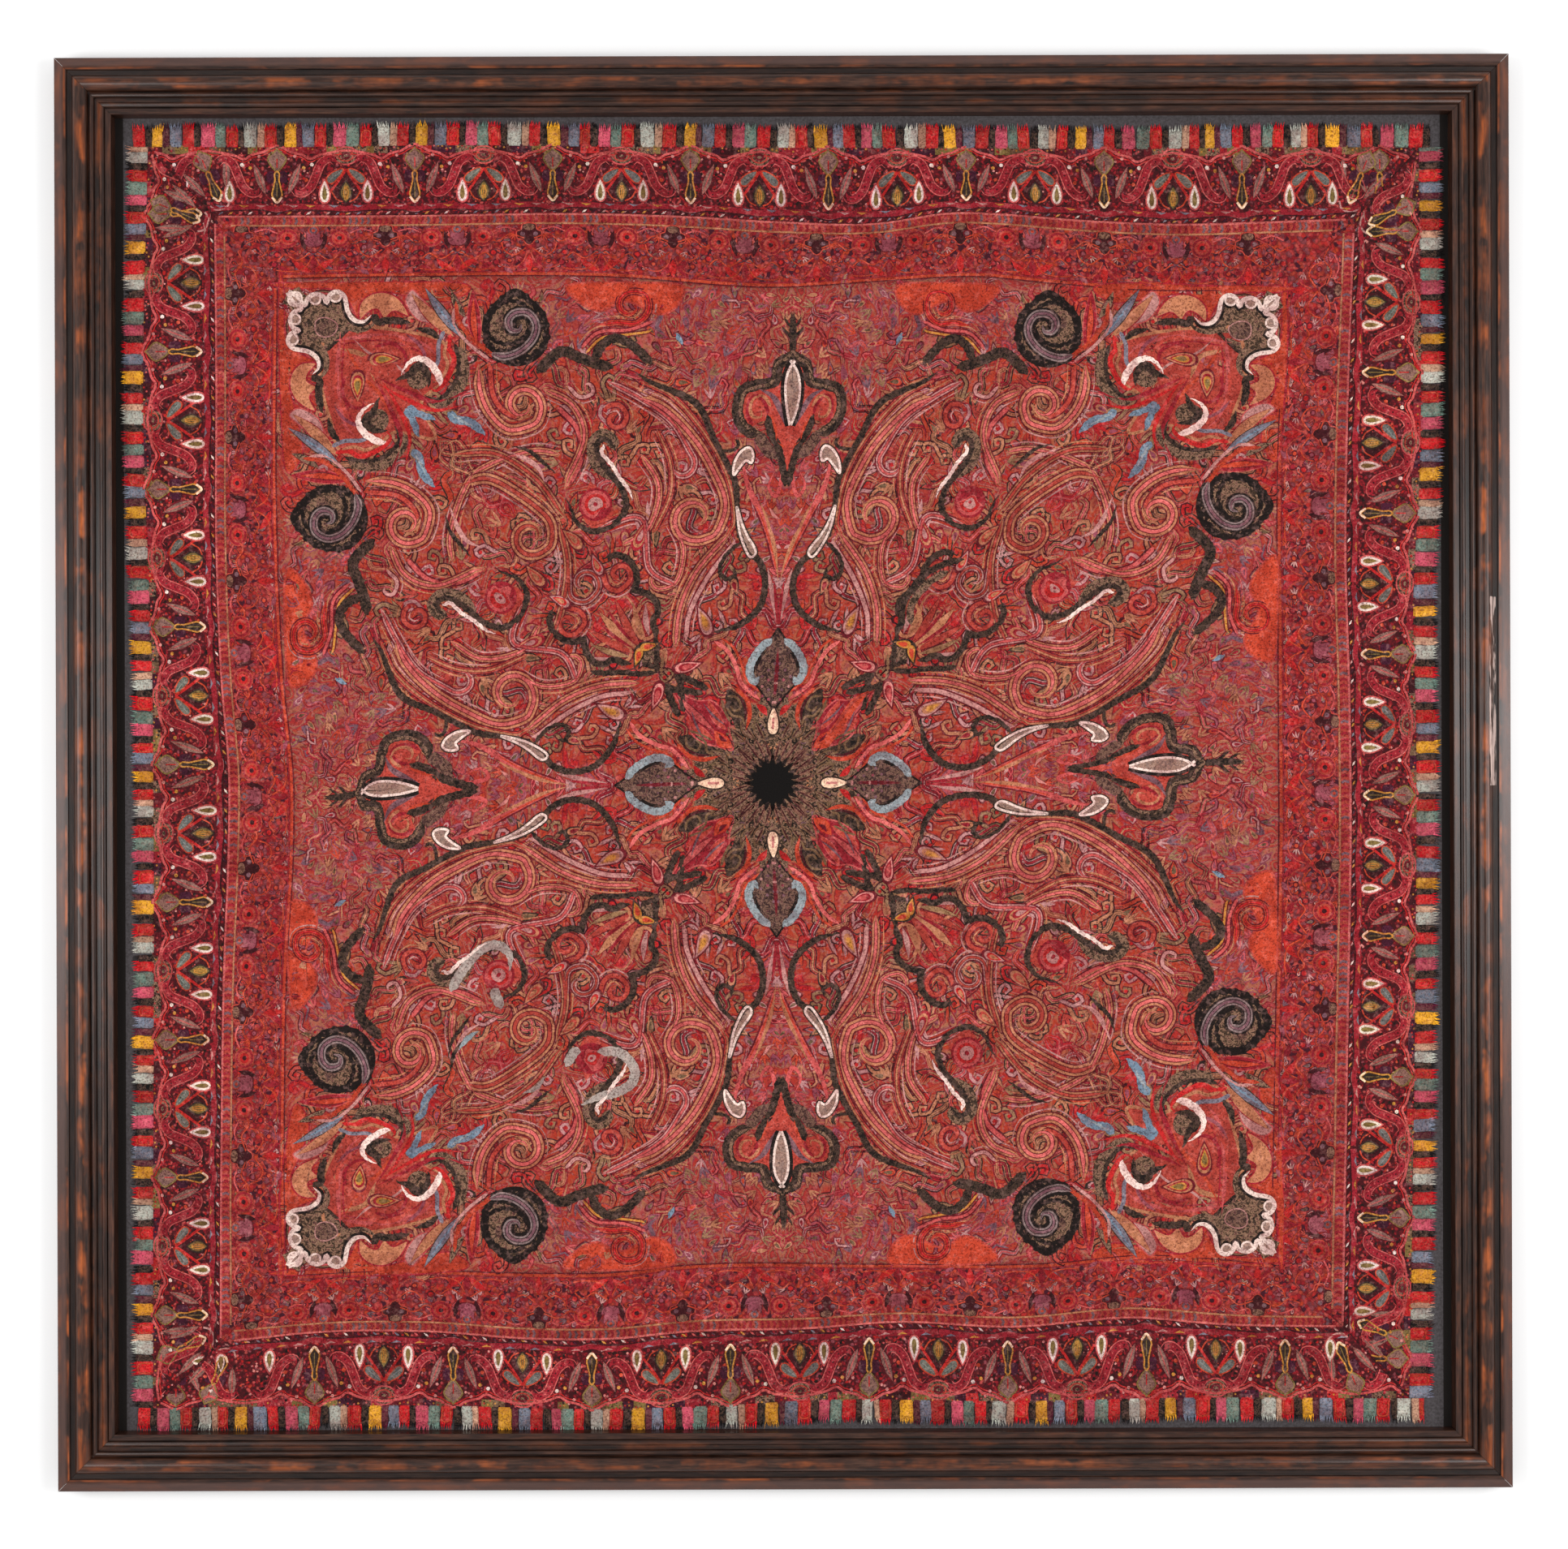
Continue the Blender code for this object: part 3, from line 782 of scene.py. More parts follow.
# Outlines of the white comma-shaped marks on an arm
WHITE_COMMAS = (
    ((904, 586), (905, 571), (913, 557), (923, 552), (928, 560), (926, 571), (919, 568), (911, 577)),
    ((908, 625), (914, 645), (921, 661), (929, 674), (931, 682), (925, 687), (918, 676), (911, 654)),
)
# The fleur's dark outline, its neck and the lines in it
FLEUR_STROKES = (
    ("dark", 13, 0.36, THIN, (979, 429), (972, 441), (959, 449), (954, 470), (934, 474), (915, 481),
     (908, 502), (911, 521), (924, 534), (938, 536)),
    ("speck_khaki", 4, 0.5, THIN, (979, 429), (970, 442), (957, 450), (951, 472), (933, 477), (918, 484),
     (912, 503), (915, 519), (926, 531), (940, 534)),
    ("dark", 8.5, 0.5, THIN, (945, 512), (948, 532), (958, 552), (964, 578), (967, 600)),
    ("speck_plum", 14, 0.38, BLUNT, (934, 536), (944, 552), (957, 566)),
    ("dark", 6, 0.5, (0.0, 0.4), (979, 432), (979, 410), (979, 386)),
    ("dark", 3.4, 0.5, BLUNT, (978, 419), (970, 410), (964, 403)),
    ("dark", 3.0, 0.5, BLUNT, (978, 406), (971, 398), (967, 391)),
    ("orange", 2.6, 0.44, THIN, (950, 512), (956, 530), (957, 544), (967, 552)),
    ("plum_grey", 7, 0.4, POINTED, (936, 480), (953, 490), (964, 512), (968, 526)),
    ("crimson", 4, 0.36, THIN, (928, 524), (921, 512), (924, 494), (934, 488), (944, 500), (946, 512)),
    ("tan", 4, 0.4, BLUNT, (950, 502), (942, 490), (930, 490), (924, 502), (928, 514), (938, 514),
     (938, 506)),
    ("rose", 8, 0.26, POINTED, (914, 560), (922, 600), (944, 650), (957, 706)),
    ("orange", 2.0, 0.4, THIN, (931, 621), (940, 642), (949, 670), (957, 702)),
    ("wine", 1.8, 0.4, THIN, (928, 622), (937, 643), (946, 671), (954, 703)),
    ("tan", 5, 0.34, POINTED, (936, 618), (946, 644), (955, 680), (959, 716)),
    ("pale_pink", 4, 0.3, POINTED, (961, 640), (954, 636), (948, 626)),
    ("mauve", 5, 0.3, THIN, (962, 660), (954, 656), (949, 646)),
    ("grey_pink", 4, 0.3, THIN, (962, 676), (955, 672)),
    ("rose", 5, 0.3, POINTED, (966, 556), (963, 590), (956, 612), (947, 600), (955, 580)),
    ("grey_pink", 6, 0.3, POINTED, (946, 700), (951, 730), (956, 764)),
    ("crimson", 5, 0.3, POINTED, (954, 716), (956, 745), (958, 770)),
)


def fleur(work):
    """The fleur-de-lis at the end of each arm, one half of it, with the neck below."""
    strokes(work, *FLEUR_STROKES)
    half_shape(work, "salmon", 0.22, *FLEUR_BODY)
    contour = half_shape(work, "ring_grey", 0.56, *FLEUR_EYE)
    line(work, contour, 6.0, "black", 0.52, shift=-1.5)
    line(work, contour, 3.0, "white", 0.64, shift=1.2)
    for points in WHITE_COMMAS:
        outline = charted_path(points, 2.5, True)
        line(work, outline, 6.0, "dark", 0.5, closed=True)
        sheet_patch(work, outline, "ring_grey", 0.56)
        line(work, outline, 2.9, "white", 0.66, closed=True)


ARROW_BODY = ((959, 774), (946, 794), (932, 818), (928, 836), (936, 850), (946, 864), (953, 876))
ARROW_DOT_ROWS = 5
# The arrow's pale blue rim, and the lines beside and under it
ARROW_STROKES = (
    ("pale_blue", 9.5, 0.52, (0.06, 0.1), (951, 787), (938, 797), (928, 811), (923, 824), (925, 836),
     (931, 841), (936, 834)),
    ("black", 2.4, 0.6, POINTED, (945, 801), (935, 815), (931, 829)),
    ("pale_rose", 5, 0.4, THIN, (880, 790), (897, 803), (908, 824), (914, 843), (936, 862)),
    ("orange", 3, 0.38, THIN, (888, 786), (903, 797), (913, 816), (920, 838), (938, 854)),
    ("crimson", 2, 0.4, THIN, (876, 798), (896, 817), (907, 838), (917, 854), (932, 867)),
    ("orange", 5, 0.4, BLUNT, (906, 848), (920, 862), (924, 880), (919, 900)),
    ("maroon", 3, 0.44, POINTED, (905, 853), (915, 865), (919, 880), (915, 896)),
    ("red", 8, 0.36, POINTED, (932, 868), (940, 874), (945, 882)),
    ("wine", 3, 0.46, POINTED, (959, 800), (958, 830), (955, 860)),
)


def arrow(work):
    """Half of the flecked arrow on each arm, with its pale blue rim and the cream flame under it."""
    contour = half_shape(work, "speck_dark", 0.4, *ARROW_BODY)
    line(work, contour, 2.4, "black", 0.48)
    for row in range(ARROW_DOT_ROWS):
        for column in range(ARROW_DOT_ROWS - row):
            spot = charted_spot((955 - 8 * column, 866 - 12 * row - 4 * column))
            dot(work, spot, 2.0, RNG.choice(("grey_pink", "plum_grey", "black", "mauve")), 0.5, 0.2, 6)
    strokes(work, *ARROW_STROKES)
    root = charted_spot((953, 905))
    patch(work, drop_path(root - (0, 2), 37, 16), "char", 0.5, 0.05, 2)
    patch(work, drop_path(root, 32, 12), "cream", 0.56, 0.15, 2)
    line(work, np.array((root + (0, 6), root + (0, 14), root + (0, 20))), 1.6, "pale_pink", 0.75)


# The bracket, and the tufts with their khaki curls
TUFT_STROKES = (
    ("dark", 8, 0.42, THIN, (819, 844), (828, 850), (845, 852), (866, 856)),
    ("dark", 8, 0.42, THIN, (820, 846), (826, 862), (836, 884)),
    ("dark", 24, 0.30, POINTED, (896, 850), (906, 872), (912, 896)),
    ("khaki", 3, 0.5, THIN, (896, 858), (908, 860), (913, 872), (905, 876), (900, 870)),
    ("khaki", 3, 0.5, THIN, (895, 872), (903, 882), (914, 884), (917, 894)),
    ("khaki", 3, 0.5, THIN, (889, 862), (893, 876), (900, 890)),
)


def tufts(work):
    """Dark curled tufts and a bracket round the flower on the diagonal."""
    strokes(work, *TUFT_STROKES)


# Drops with pale rims. Columns: middle, length, angle, colours from the rim inwards
RIMMED_DROPS = (
    ((848, 822), 40, 0.15, ("wine", "pale_pink", "crimson", "rose")),
    ((868, 765), 46, 1.9, ("wine", "grey_pink", "tan", "ochre")),
    ((706, 664), 40, 2.3, ("wine", "tan", "salmon", "tan")),
    ((790, 660), 40, 1.2, ("crimson", "tan", "crimson", "grey_pink")),
    ((690, 740), 34, 2.6, ("wine", "grey_pink", "red", "tan")),
)
# Slate blue blades near the corners
BLUE_STROKES = (
    ("sky", 8, 0.46, BLUNT, (502, 502), (516, 511), (537, 518)),
    ("sky", 10, 0.46, BLUNT, (552, 509), (562, 518), (580, 522), (598, 537)),
    ("pale_blue", 4, 0.56, POINTED, (553, 510), (566, 518), (584, 527)),
    ("sky", 6, 0.46, POINTED, (833, 411), (836, 418), (841, 426)),
)


def field_octant():
    """Main motifs that repeat eight times round the field."""
    work = Threadwork(MOTIF_BASE)
    outline_strokes(work)
    rosette(work)
    corner_finial(work)
    for points, middle, turns, width, body in SCROLLS:
        heart = HEARTS.get(body) if width > HEART_FROM else None
        curl(work, points, middle, turns, width, body, "wine", heart, 0.25)
    fleur(work)
    arrow(work)
    tufts(work)

    for middle, length, angle, rings in RIMMED_DROPS:
        drop(work, charted_spot(middle), length, angle, rings, 0.2, 0.4, 0.26)
    strokes(work, *BLUE_STROKES)
    return work


# Curled bands in the shell on a diagonal. Columns as in SCROLLS
DIAGONAL_SCROLLS = (
    (((565, 600), (600, 590), (640, 610), (676, 640), (680, 668)), (654, 662), 1.15, 14, "tan"),
    (((560, 560), (612, 560), (660, 590), (690, 630)), (700, 650), 0.05, 10, "tan"),
    (((690, 645), (700, 700), (690, 760), (672, 800)), (668, 810), 0.05, 10, "tan"),
    (((702, 700), (703, 735), (722, 742), (737, 728)), (720, 719), 0.9, 8, "grey_pink"),
)
# Contours in the corner finial. Columns: colour, width, points
FINIAL_LINES = (
    ("rose", 5, (412, 420), (470, 414), (520, 424), (540, 440)),
    ("crimson", 2, (410, 426), (468, 420), (514, 432), (530, 450)),
    ("tan", 6, (420, 430), (450, 440), (462, 470)),
    ("mauve", 4, (500, 412), (516, 424), (524, 440), (512, 440)),
    ("grey_pink", 3, (436, 418), (456, 436), (490, 452), (520, 486)),
    ("orange", 4, (424, 424), (446, 462), (468, 486), (486, 520)),
    ("rose", 5, (420, 410), (416, 470), (424, 520), (440, 540)),
    ("crimson", 2, (426, 410), (422, 468), (432, 514), (450, 530)),
    ("mauve", 4, (412, 500), (424, 516), (440, 524), (440, 512)),
)
# Leaves that fan out in the shell
SHELL_LEAVES = (
    ("salmon", "wine", 9, 0.34, (790, 800), (758, 738)),
    ("salmon", "wine", 9, 0.34, (784, 806), (722, 774)),
    ("tan", "wine", 12, 0.36, (788, 803), (738, 754)), ("tan", "crimson", 8, 0.35, (796, 792), (780, 742)),
    ("old_gold", "wine", 7, 0.35, (778, 810), (728, 794)),
    ("grey_pink", "crimson", 7, 0.3, (800, 784), (796, 744)),
    ("grey_pink", "crimson", 7, 0.3, (770, 814), (730, 810)),
    ("crimson", "salmon", 4, 0.42, (784, 796), (748, 750)),
    ("crimson", "salmon", 4, 0.42, (782, 800), (736, 766)),
)
# The closed end of the shell's dark outline
SHELL_STROKES = (
    ("dark", 6.5, 0.5, THIN, (806, 786), (809, 800), (808, 816), (809, 829)),
    ("dark", 6.5, 0.5, THIN, (808, 828), (788, 830), (766, 828), (744, 829), (728, 827)),
)
# The finial's salmon body and its khaki inside
KHAKI_SHAPES = (
    ("salmon", "tan", 4.0, 0.18, (404, 406), (440, 402), (506, 410), (548, 424), (556, 462), (520, 496),
     (536, 540), (487, 533), (457, 560), (420, 556), (409, 523), (396, 470)),
    ("speck_khaki", "dark", 4.0, 0.24, (376, 386), (392, 380), (403, 386), (414, 380), (424, 392),
     (432, 402), (424, 412), (412, 424), (402, 432), (388, 430), (378, 420), (380, 404)),
    ("speck_plum", "grey_pink", 1.5, 0.34, (390, 396), (402, 392), (416, 400), (412, 412), (400, 416),
     (390, 410)),
)
# Ground and petals of the flower beside the middle
FLOWER_GROUND = (
    (903, 924), (899, 902), (897, 884), (878, 864), (862, 864), (846, 858), (829, 850), (838, 868),
    (850, 884), (852, 904), (868, 916), (884, 920),
)
FLOWER_LEAVES = (
    ("orange", "red", 14, 0.48, (902, 922), (880, 900)),
    ("salmon", "rose", 10, 0.48, (894, 900), (872, 862)),
    ("salmon", "rose", 10, 0.48, (880, 912), (846, 886)), ("rose", "wine", 8, 0.5, (880, 900), (834, 856)),
    ("plum_grey", "crimson", 3, 0.58, (868, 912), (852, 874)),
    ("plum_grey", "crimson", 3, 0.58, (894, 894), (866, 866)),
    ("wine", "red", 5, 0.6, (896, 914), (886, 904)),
)


def on_diagonal():
    """Motifs that lie across the diagonals, once in each quarter."""
    work = Threadwork(MOTIF_BASE)
    for points, middle, turns, width, body in DIAGONAL_SCROLLS:
        curl(work, points, middle, turns, width, body, "wine", "salmon", 0.3)
    leaves(work, *SHELL_LEAVES)
    strokes(work, *SHELL_STROKES)
    shapes(work, *KHAKI_SHAPES)
    for colour, width, *points in FINIAL_LINES:
        line(work, charted_path(points), width, colour, 0.3, (0.2, 0.2))
    shapes(work, ("crimson", "rose", 2.0, 0.4, *FLOWER_GROUND))
    leaves(work, *FLOWER_LEAVES)
    return work


# Bleached hooks at the lower left, and strokes of the upper right. Columns as in strokes()
SINGLE_STROKES = (
    ("bleached", 12, 0.62, BLUNT, (556, 1222), (566, 1204), (578, 1187), (593, 1171), (612, 1165),
     (627, 1176), (628, 1196)),
    ("bleached", 13, 0.62, BLUNT, (607, 1218), (612, 1230), (618, 1243)),
    ("bleached", 12, 0.62, BLUNT, (736, 1296), (764, 1298), (781, 1317), (777, 1335), (757, 1346),
     (737, 1351), (716, 1361)),
    ("bleached", 12, 0.62, BLUNT, (712, 1290), (703, 1302), (697, 1314)),
    ("pale_blue", 7, 0.62, POINTED, (566, 1294), (577, 1280), (590, 1271)),
    ("bleached", 6, 0.62, POINTED, (644, 1348), (661, 1341), (673, 1326)),
    ("dark", 5, 0.64, POINTED, (556, 1320), (560, 1300), (570, 1283)),
    ("dark", 8, 0.60, THIN, (1112, 776), (1114, 744), (1136, 712), (1164, 696), (1188, 690)),
    ("speck_khaki", 9, 0.58, THIN, (1122, 770), (1123, 746), (1142, 720), (1168, 704)),
    ("orange", 12, 0.60, BLUNT, (1012, 922), (1034, 894), (1052, 868), (1070, 852)),
    ("salmon", 5, 0.66, POINTED, (1016, 914), (1036, 886), (1056, 862), (1078, 850)),
)


def single_marks():
    """Marks that only one quarter has, in photograph pixels."""
    work = Threadwork(MOTIF_BASE + 0.1)
    strokes(work, *SINGLE_STROKES)
    return work


# Places round an octant are angles from this one, which points up an arm
UP = math.pi / 2
HALO_CURLS = 46


def halo():
    """Dark flecked ground round the middle, with small curled lines on it."""
    work = Threadwork(MOTIF_BASE)
    angles = np.linspace(UP, 3 * math.pi / 4, 30)
    reach = 92 + 14 * np.cos(4 * (angles - UP)) + 6 * np.cos(44 * angles) + 4 * np.sin(71 * angles)
    rim = np.stack((reach * np.cos(angles), reach * np.sin(angles)), axis=1)
    n = len(angles)
    shares = np.linspace(1.0, 0.12, 9)
    spots = np.vstack([rim * share for share in shares])
    i = np.arange(n - 1)
    firsts = np.arange(len(shares) - 1) * n
    quads = np.vstack([np.stack((i + k, i + 1 + k, i + 1 + k + n, i + k + n), axis=1) for k in firsts])
    work.add(spots, 0.22, "speck_khaki", quads=quads)
    for _ in range(HALO_CURLS):
        angle, radius = RNG.uniform(UP, 3 * math.pi / 4), RNG.uniform(40, 98)
        spot = radius * np.array((math.cos(angle), math.sin(angle)))
        spiral = spiral_path(spot, spot + turned(np.array(((4.0, 0.0),)), angle)[0], 0.8, 0.3, 1)
        line(work, spiral, 1.7, RNG.choice(("black", "tan", "black", "khaki", "plum_grey")), 0.32)
    return work


# Flames round the star. Columns: angle from the arm, nearest and furthest reach, width
FLAMES = (
    (0.10, 29, 52, 9), (0.30, 29, 58, 10), (0.50, 30, 62, 11), (0.70, 30, 60, 10),
    (0.20, 54, 78, 9), (0.40, 60, 86, 9), (0.60, 62, 88, 9), (0.74, 64, 84, 7),
)
OUTER_FLAMES_FROM = 70
RAY_ANGLES = (0.0, 0.26, 0.52, 0.785)


def middle_star():
    """Flames round the black star, and the star's rays, of one octant."""
    work = Threadwork(MOTIF_BASE)
    for turn_by, near, far, width in FLAMES:
        angle = UP + turn_by
        start = near * np.array((math.cos(angle), math.sin(angle)))
        end = far * np.array((math.cos(angle + 0.08), math.sin(angle + 0.08)))
        path = leaf_path(start, end, width, 2.5, 11)
        patch(work, leaf_path(start, end, width * 1.5, 2.5, 11), "black", 0.30, 0.04)
        patch(work, path, "speck_khaki", 0.36, 0.1)
        line(work, path, 1.9, "speck_brown" if far < OUTER_FLAMES_FROM else "khaki", 0.46, closed=True)
        line(work, np.linspace(start, end, 4), 1.6, "maroon", 0.5, (0.2, 0.3))
    for turn_by in RAY_ANGLES:
        angle = UP + turn_by
        tip = 36 * np.array((math.cos(angle), math.sin(angle)))
        patch(work, leaf_path(tip * 0.6, tip, 5, 0), "black", 0.7, 0.05)
    return work


# The dark outline of the figure in an octant, in pattern pixels: along, and up
LOBE_EDGE_X = (-320, -219, -190, -152, -95, -68, -47, -39, 0)
LOBE_EDGE_Y = (505, 520, 545, 515, 465, 415, 365, 300, 180)
LOBE_END = 330
# How far the filler reaches from the middle line, and where it starts, in pixels
FILLER_ROWS_TO = 612
FILLER_TO = 606
FILLER_FROM = 110
# What fills each zone. Columns: zone, spacing, body colours, edge colours, kinds
ZONES = (
    ("lobes", 21.0, ("tan", "salmon", "tan", "grey_pink", "old_gold", "tan", "orange", "red"),
     ("wine", "crimson", "maroon", "char"), ("curl", "wave", "boteh", "leaves", "curl", "wave")),
    ("outside", 15.0, ("mauve", "rose", "grey_pink", "tan", "orange", "plum_grey", "tan", "old_gold"),
     ("wine", "crimson", "mauve"), ("curl", "wave", "boteh", "leaves", "leaves", "boteh")),
)


def filler():
    """Small scrolls, botehs and leaves that pack the ground between the main motifs, under them."""
    work = Threadwork()
    for zone, spacing, bodies, edges, kinds in ZONES:
        count = int(FILLER_ROWS_TO / spacing) + 1
        for row in range(count):
            for column in range(row + 1):
                spot = np.array((-column - 0.4, row + 0.5)) * spacing + RNG.uniform(-0.3, 0.3, 2) * spacing
                outside = spot[1] > np.interp(spot[0], LOBE_EDGE_X, LOBE_EDGE_Y) and spot[0] > -LOBE_END
                off_field = spot[1] > FILLER_TO or np.hypot(*spot) < FILLER_FROM
                if off_field or outside != (zone == "outside"):
                    continue
                flow = 1.7 * math.sin(spot[0] / 62 + 0.8) + 1.9 * math.cos(spot[1] / 71) + 0.6
                small_motif(work, spot, flow + RNG.uniform(-0.5, 0.5), spacing, RNG.choice(bodies),
                            RNG.choice(edges), RNG.choice(kinds))
    return work


def small_motif(work, spot, angle, size, body, edge, kind):
    """A curl, a wavy ribbon, a boteh or three leaves, about size pixels across."""
    ahead = np.array((math.cos(angle), math.sin(angle))) * size
    aside = np.array((-ahead[1], ahead[0]))
    if kind == "curl":
        hand = RNG.choice((-1, 1))
        start = spot - 0.42 * aside * hand
        way = np.vstack((start - 1.1 * ahead, start - 0.5 * ahead,
                         spiral_path(spot, start, 1.15, 0.25, hand)[::3]))
        ribbon(work, smooth_path(way, 6.0), size * 0.27, body, edge, None, 0.10, 0.08, (0.2, 0.1))
        dot(work, spot, size * 0.12, "red", 0.2, 0.05, 5)
    elif kind == "wave":
        way = (spot - 1.2 * ahead, spot - 0.4 * ahead + 0.4 * aside, spot + 0.4 * ahead - 0.4 * aside,
               spot + 1.2 * ahead)
        heart = RNG.choice(("crimson", "rose", "tan"))
        ribbon(work, smooth_path(way, 6.0), size * 0.36, body, edge, heart, 0.08, 0.06, (0.3, 0.3))
    elif kind == "boteh":
        rings = (edge, body, RNG.choice(("crimson", "orange", "khaki", "mauve")))
        drop(work, spot, size * 1.3, angle, rings, RNG.choice((-0.3, 0.3)), 0.06, 0.3, 11)
    else:
        for lean in (-0.6, 0.0, 0.6):
            tip = turned(ahead[None] * 0.9, lean)[0] + spot
            patch(work, leaf_path(spot - 0.3 * ahead, tip, size * 0.3, 0, 5), edge, 0.08, 0.03)
            patch(work, leaf_path(spot - 0.25 * ahead, tip, size * 0.2, 0, 5), body, 0.12, 0.06)


# Motifs of the borders. Places: along, and out from the strip's inner line, in pixels

def both_halves(points):
    """A closed outline from the half of it on the right of its middle line."""
    half = smooth_path(points, 3.0)
    return np.vstack((half, (half * (-1, 1))[-2:0:-1]))


MIRRORS = (np.array((-1, 1)), np.array((1, 1)))


def half_way(points, mirror, closed=False):
    """A smooth way through points on one side of a motif's middle line, or mirrored to the other."""
    return smooth_path(np.array(points) * mirror, 3.0, closed)


def drop_path(root, length, width):
    """A drop that stands outwards, round at its root and pointed at its tip."""
    t = np.linspace(0, 2 * math.pi, 18, endpoint=False)
    share = (1 - np.cos(t)) / 2
    swell = np.sin(t) * np.clip(1 - share, 0, 1) ** 0.45
    return np.stack((width * swell * 0.62, length * share), axis=1) + root


def palmette(work, turn=0.0, shift=(0.0, 0.0)):
    """A shield-shaped head on a waisted foot, between two slanted leaves. It stands outwards."""
    def put(points):
        return turned(np.asarray(points, float) - (0, 50), turn) + (0, 50) + shift

    head = both_halves(((0, 56), (6, 63), (11.5, 73), (8, 79), (3, 83), (0, 87)))
    foot = both_halves(((0, 18), (6, 26), (5, 34), (2.5, 46), (3, 54), (0, 58)))
    for mirror in MIRRORS:
        collar = half_way(((4, 44), (12, 44), (12, 56), (4, 57)), mirror, True)
        patch(work, put(collar), "plum", 0.36, 0.02)
        lower, upper = put(np.array(((14, 28), (29, 68))) * mirror)
        patch(work, leaf_path(lower, upper, 12, 0), "wine", 0.30, 0.04)
        patch(work, leaf_path(lower, upper, 9, 0), "speck_grey", 0.38, 0.1)
        line(work, np.linspace(lower, upper, 5), 1.3, "rose", 0.52, (0.3, 0.3))
    sheet_patch(work, put(head), "speck_grey", 0.42)
    sheet_patch(work, put(foot), "char", 0.46)
    line(work, put(head), 2.0, "olive", 0.5, closed=True)
    line(work, put(((0, 62), (0, 74))), 1.4, "red", 0.5)
    line(work, put(foot), 1.9, "ochre", 0.54, closed=True)
    line(work, put(((0, 24), (0, 42))), 1.2, "olive", 0.54)
    line(work, put(smooth_path(((-6, 24), (0, 17), (6, 24)), 2.0)), 2.6, "cream", 0.6)
    arc = smooth_path(((-13, 15), (-8, 8), (0, 6), (8, 8), (13, 15)), 3.0)
    line(work, put(arc), 2.4, "grey_pink", 0.4)


BEADS = ("rose", "orange", "pale_pink", "crimson", "salmon", "crimson", "red", "black", "black", "wine")
BEADS_IN_REPEAT = 190
# Columns: along, out, radius, colour
OUTER_DOTS = (
    (43, 66, 2.6, "white"), (22, 77, 2.2, "pale_pink"), (36, 46, 2.6, "orange"), (33, 62, 2.4, "ochre"),
)
# A scroll on each side of a palmette, and the scalloped line over it. Places: along, out
OUTER_SCROLL = ((74, 68), (66, 74), (55, 68), (48, 52), (42, 38), (33, 30), (25, 30), (22, 36))
OUTER_SCALLOP = ((0, 91), (8, 88), (16, 83), (31, 79), (38, 74), (44, 74), (52, 78), (70, 82), (85, 84))
LEAF_WING = ((3, 60), (8, 60), (18, 55), (24, 48), (22, 42), (16, 42), (10, 48), (5, 54))
# Stitches under the leaves. Columns: along, colour
OUTER_STITCHES = ((41, "ochre"), (70, "slate"), (20, "grey_pink"))
SEAM_STITCHES = ("grey_pink", "slate", "ochre", "rose", "white", "plum")


def outer_unit():
    """One repeat of the outer border."""
    work = Threadwork()
    for _ in range(BEADS_IN_REPEAT):
        s, t = RNG.uniform(-85, 85), RNG.uniform(8, 84)
        dot(work, (s, t), RNG.uniform(1.1, 2.2), RNG.choice(BEADS), 0.16, 0.2, 5)
    palmette(work)
    for mirror in MIRRORS:
        way = half_way(OUTER_SCROLL, mirror)
        band(work, way, 11.5, "maroon", 0.34, 0.15, THIN)
        line(work, way, 7.5, "crimson", 0.54, THIN)
        for shift in (5.0, -5.0):
            line(work, way, 1.6, "rose", 0.58, THIN, shift=shift)
        for t in range(2, len(way) - 2, 2):
            dot(work, way[t], 1.2, "rose" if t % 4 else "maroon", 0.6, 0.05, 5)
        spot = mirror * (57 + RNG.uniform(-2, 2), 13 + RNG.uniform(0, 6))
        patch(work, drop_path(spot - (0, 2), 33, 16), "rose", 0.38, 0.05, 2)
        patch(work, drop_path(spot, 28, 12), "white", 0.46, 0.15, 2)
        patch(work, drop_path(spot + (0, 3), 19, 6.0), "olive", 0.66, 0.02)
        scallop = np.array(OUTER_SCALLOP) * mirror
        line(work, smooth_path(scallop, 3.0), 3.0, "rose", 0.5)
        line(work, smooth_path(scallop - (0, 4), 3.0), 1.6, "red", 0.44)
        for s, t, radius, colour in OUTER_DOTS:
            dot(work, mirror * (s, t), radius, colour, 0.5, 0.2)
        for s, colour in OUTER_STITCHES:
            line(work, mirror * (s, 13) + ((-6, 1), (0, -1), (6, 0)), 2.8, colour, 0.5, (0.3, 0.3))
    seam = smooth_path(((-85, 9), (-57, 11), (-20, 12), (0, 8), (20, 12), (57, 11), (85, 9)), 4.0)
    band(work, seam, 7, "crimson", 0.34, 0.15)
    line(work, seam, 1.6, "maroon", 0.5, shift=-4.5)
    for step in range(15):
        start = np.array((-84 + 12 * step, 1.5))
        colour = SEAM_STITCHES[step % len(SEAM_STITCHES)]
        line(work, np.linspace(start, start + (6, 4), 3), 2.6, colour, 0.4, (0.3, 0.3))
    return work


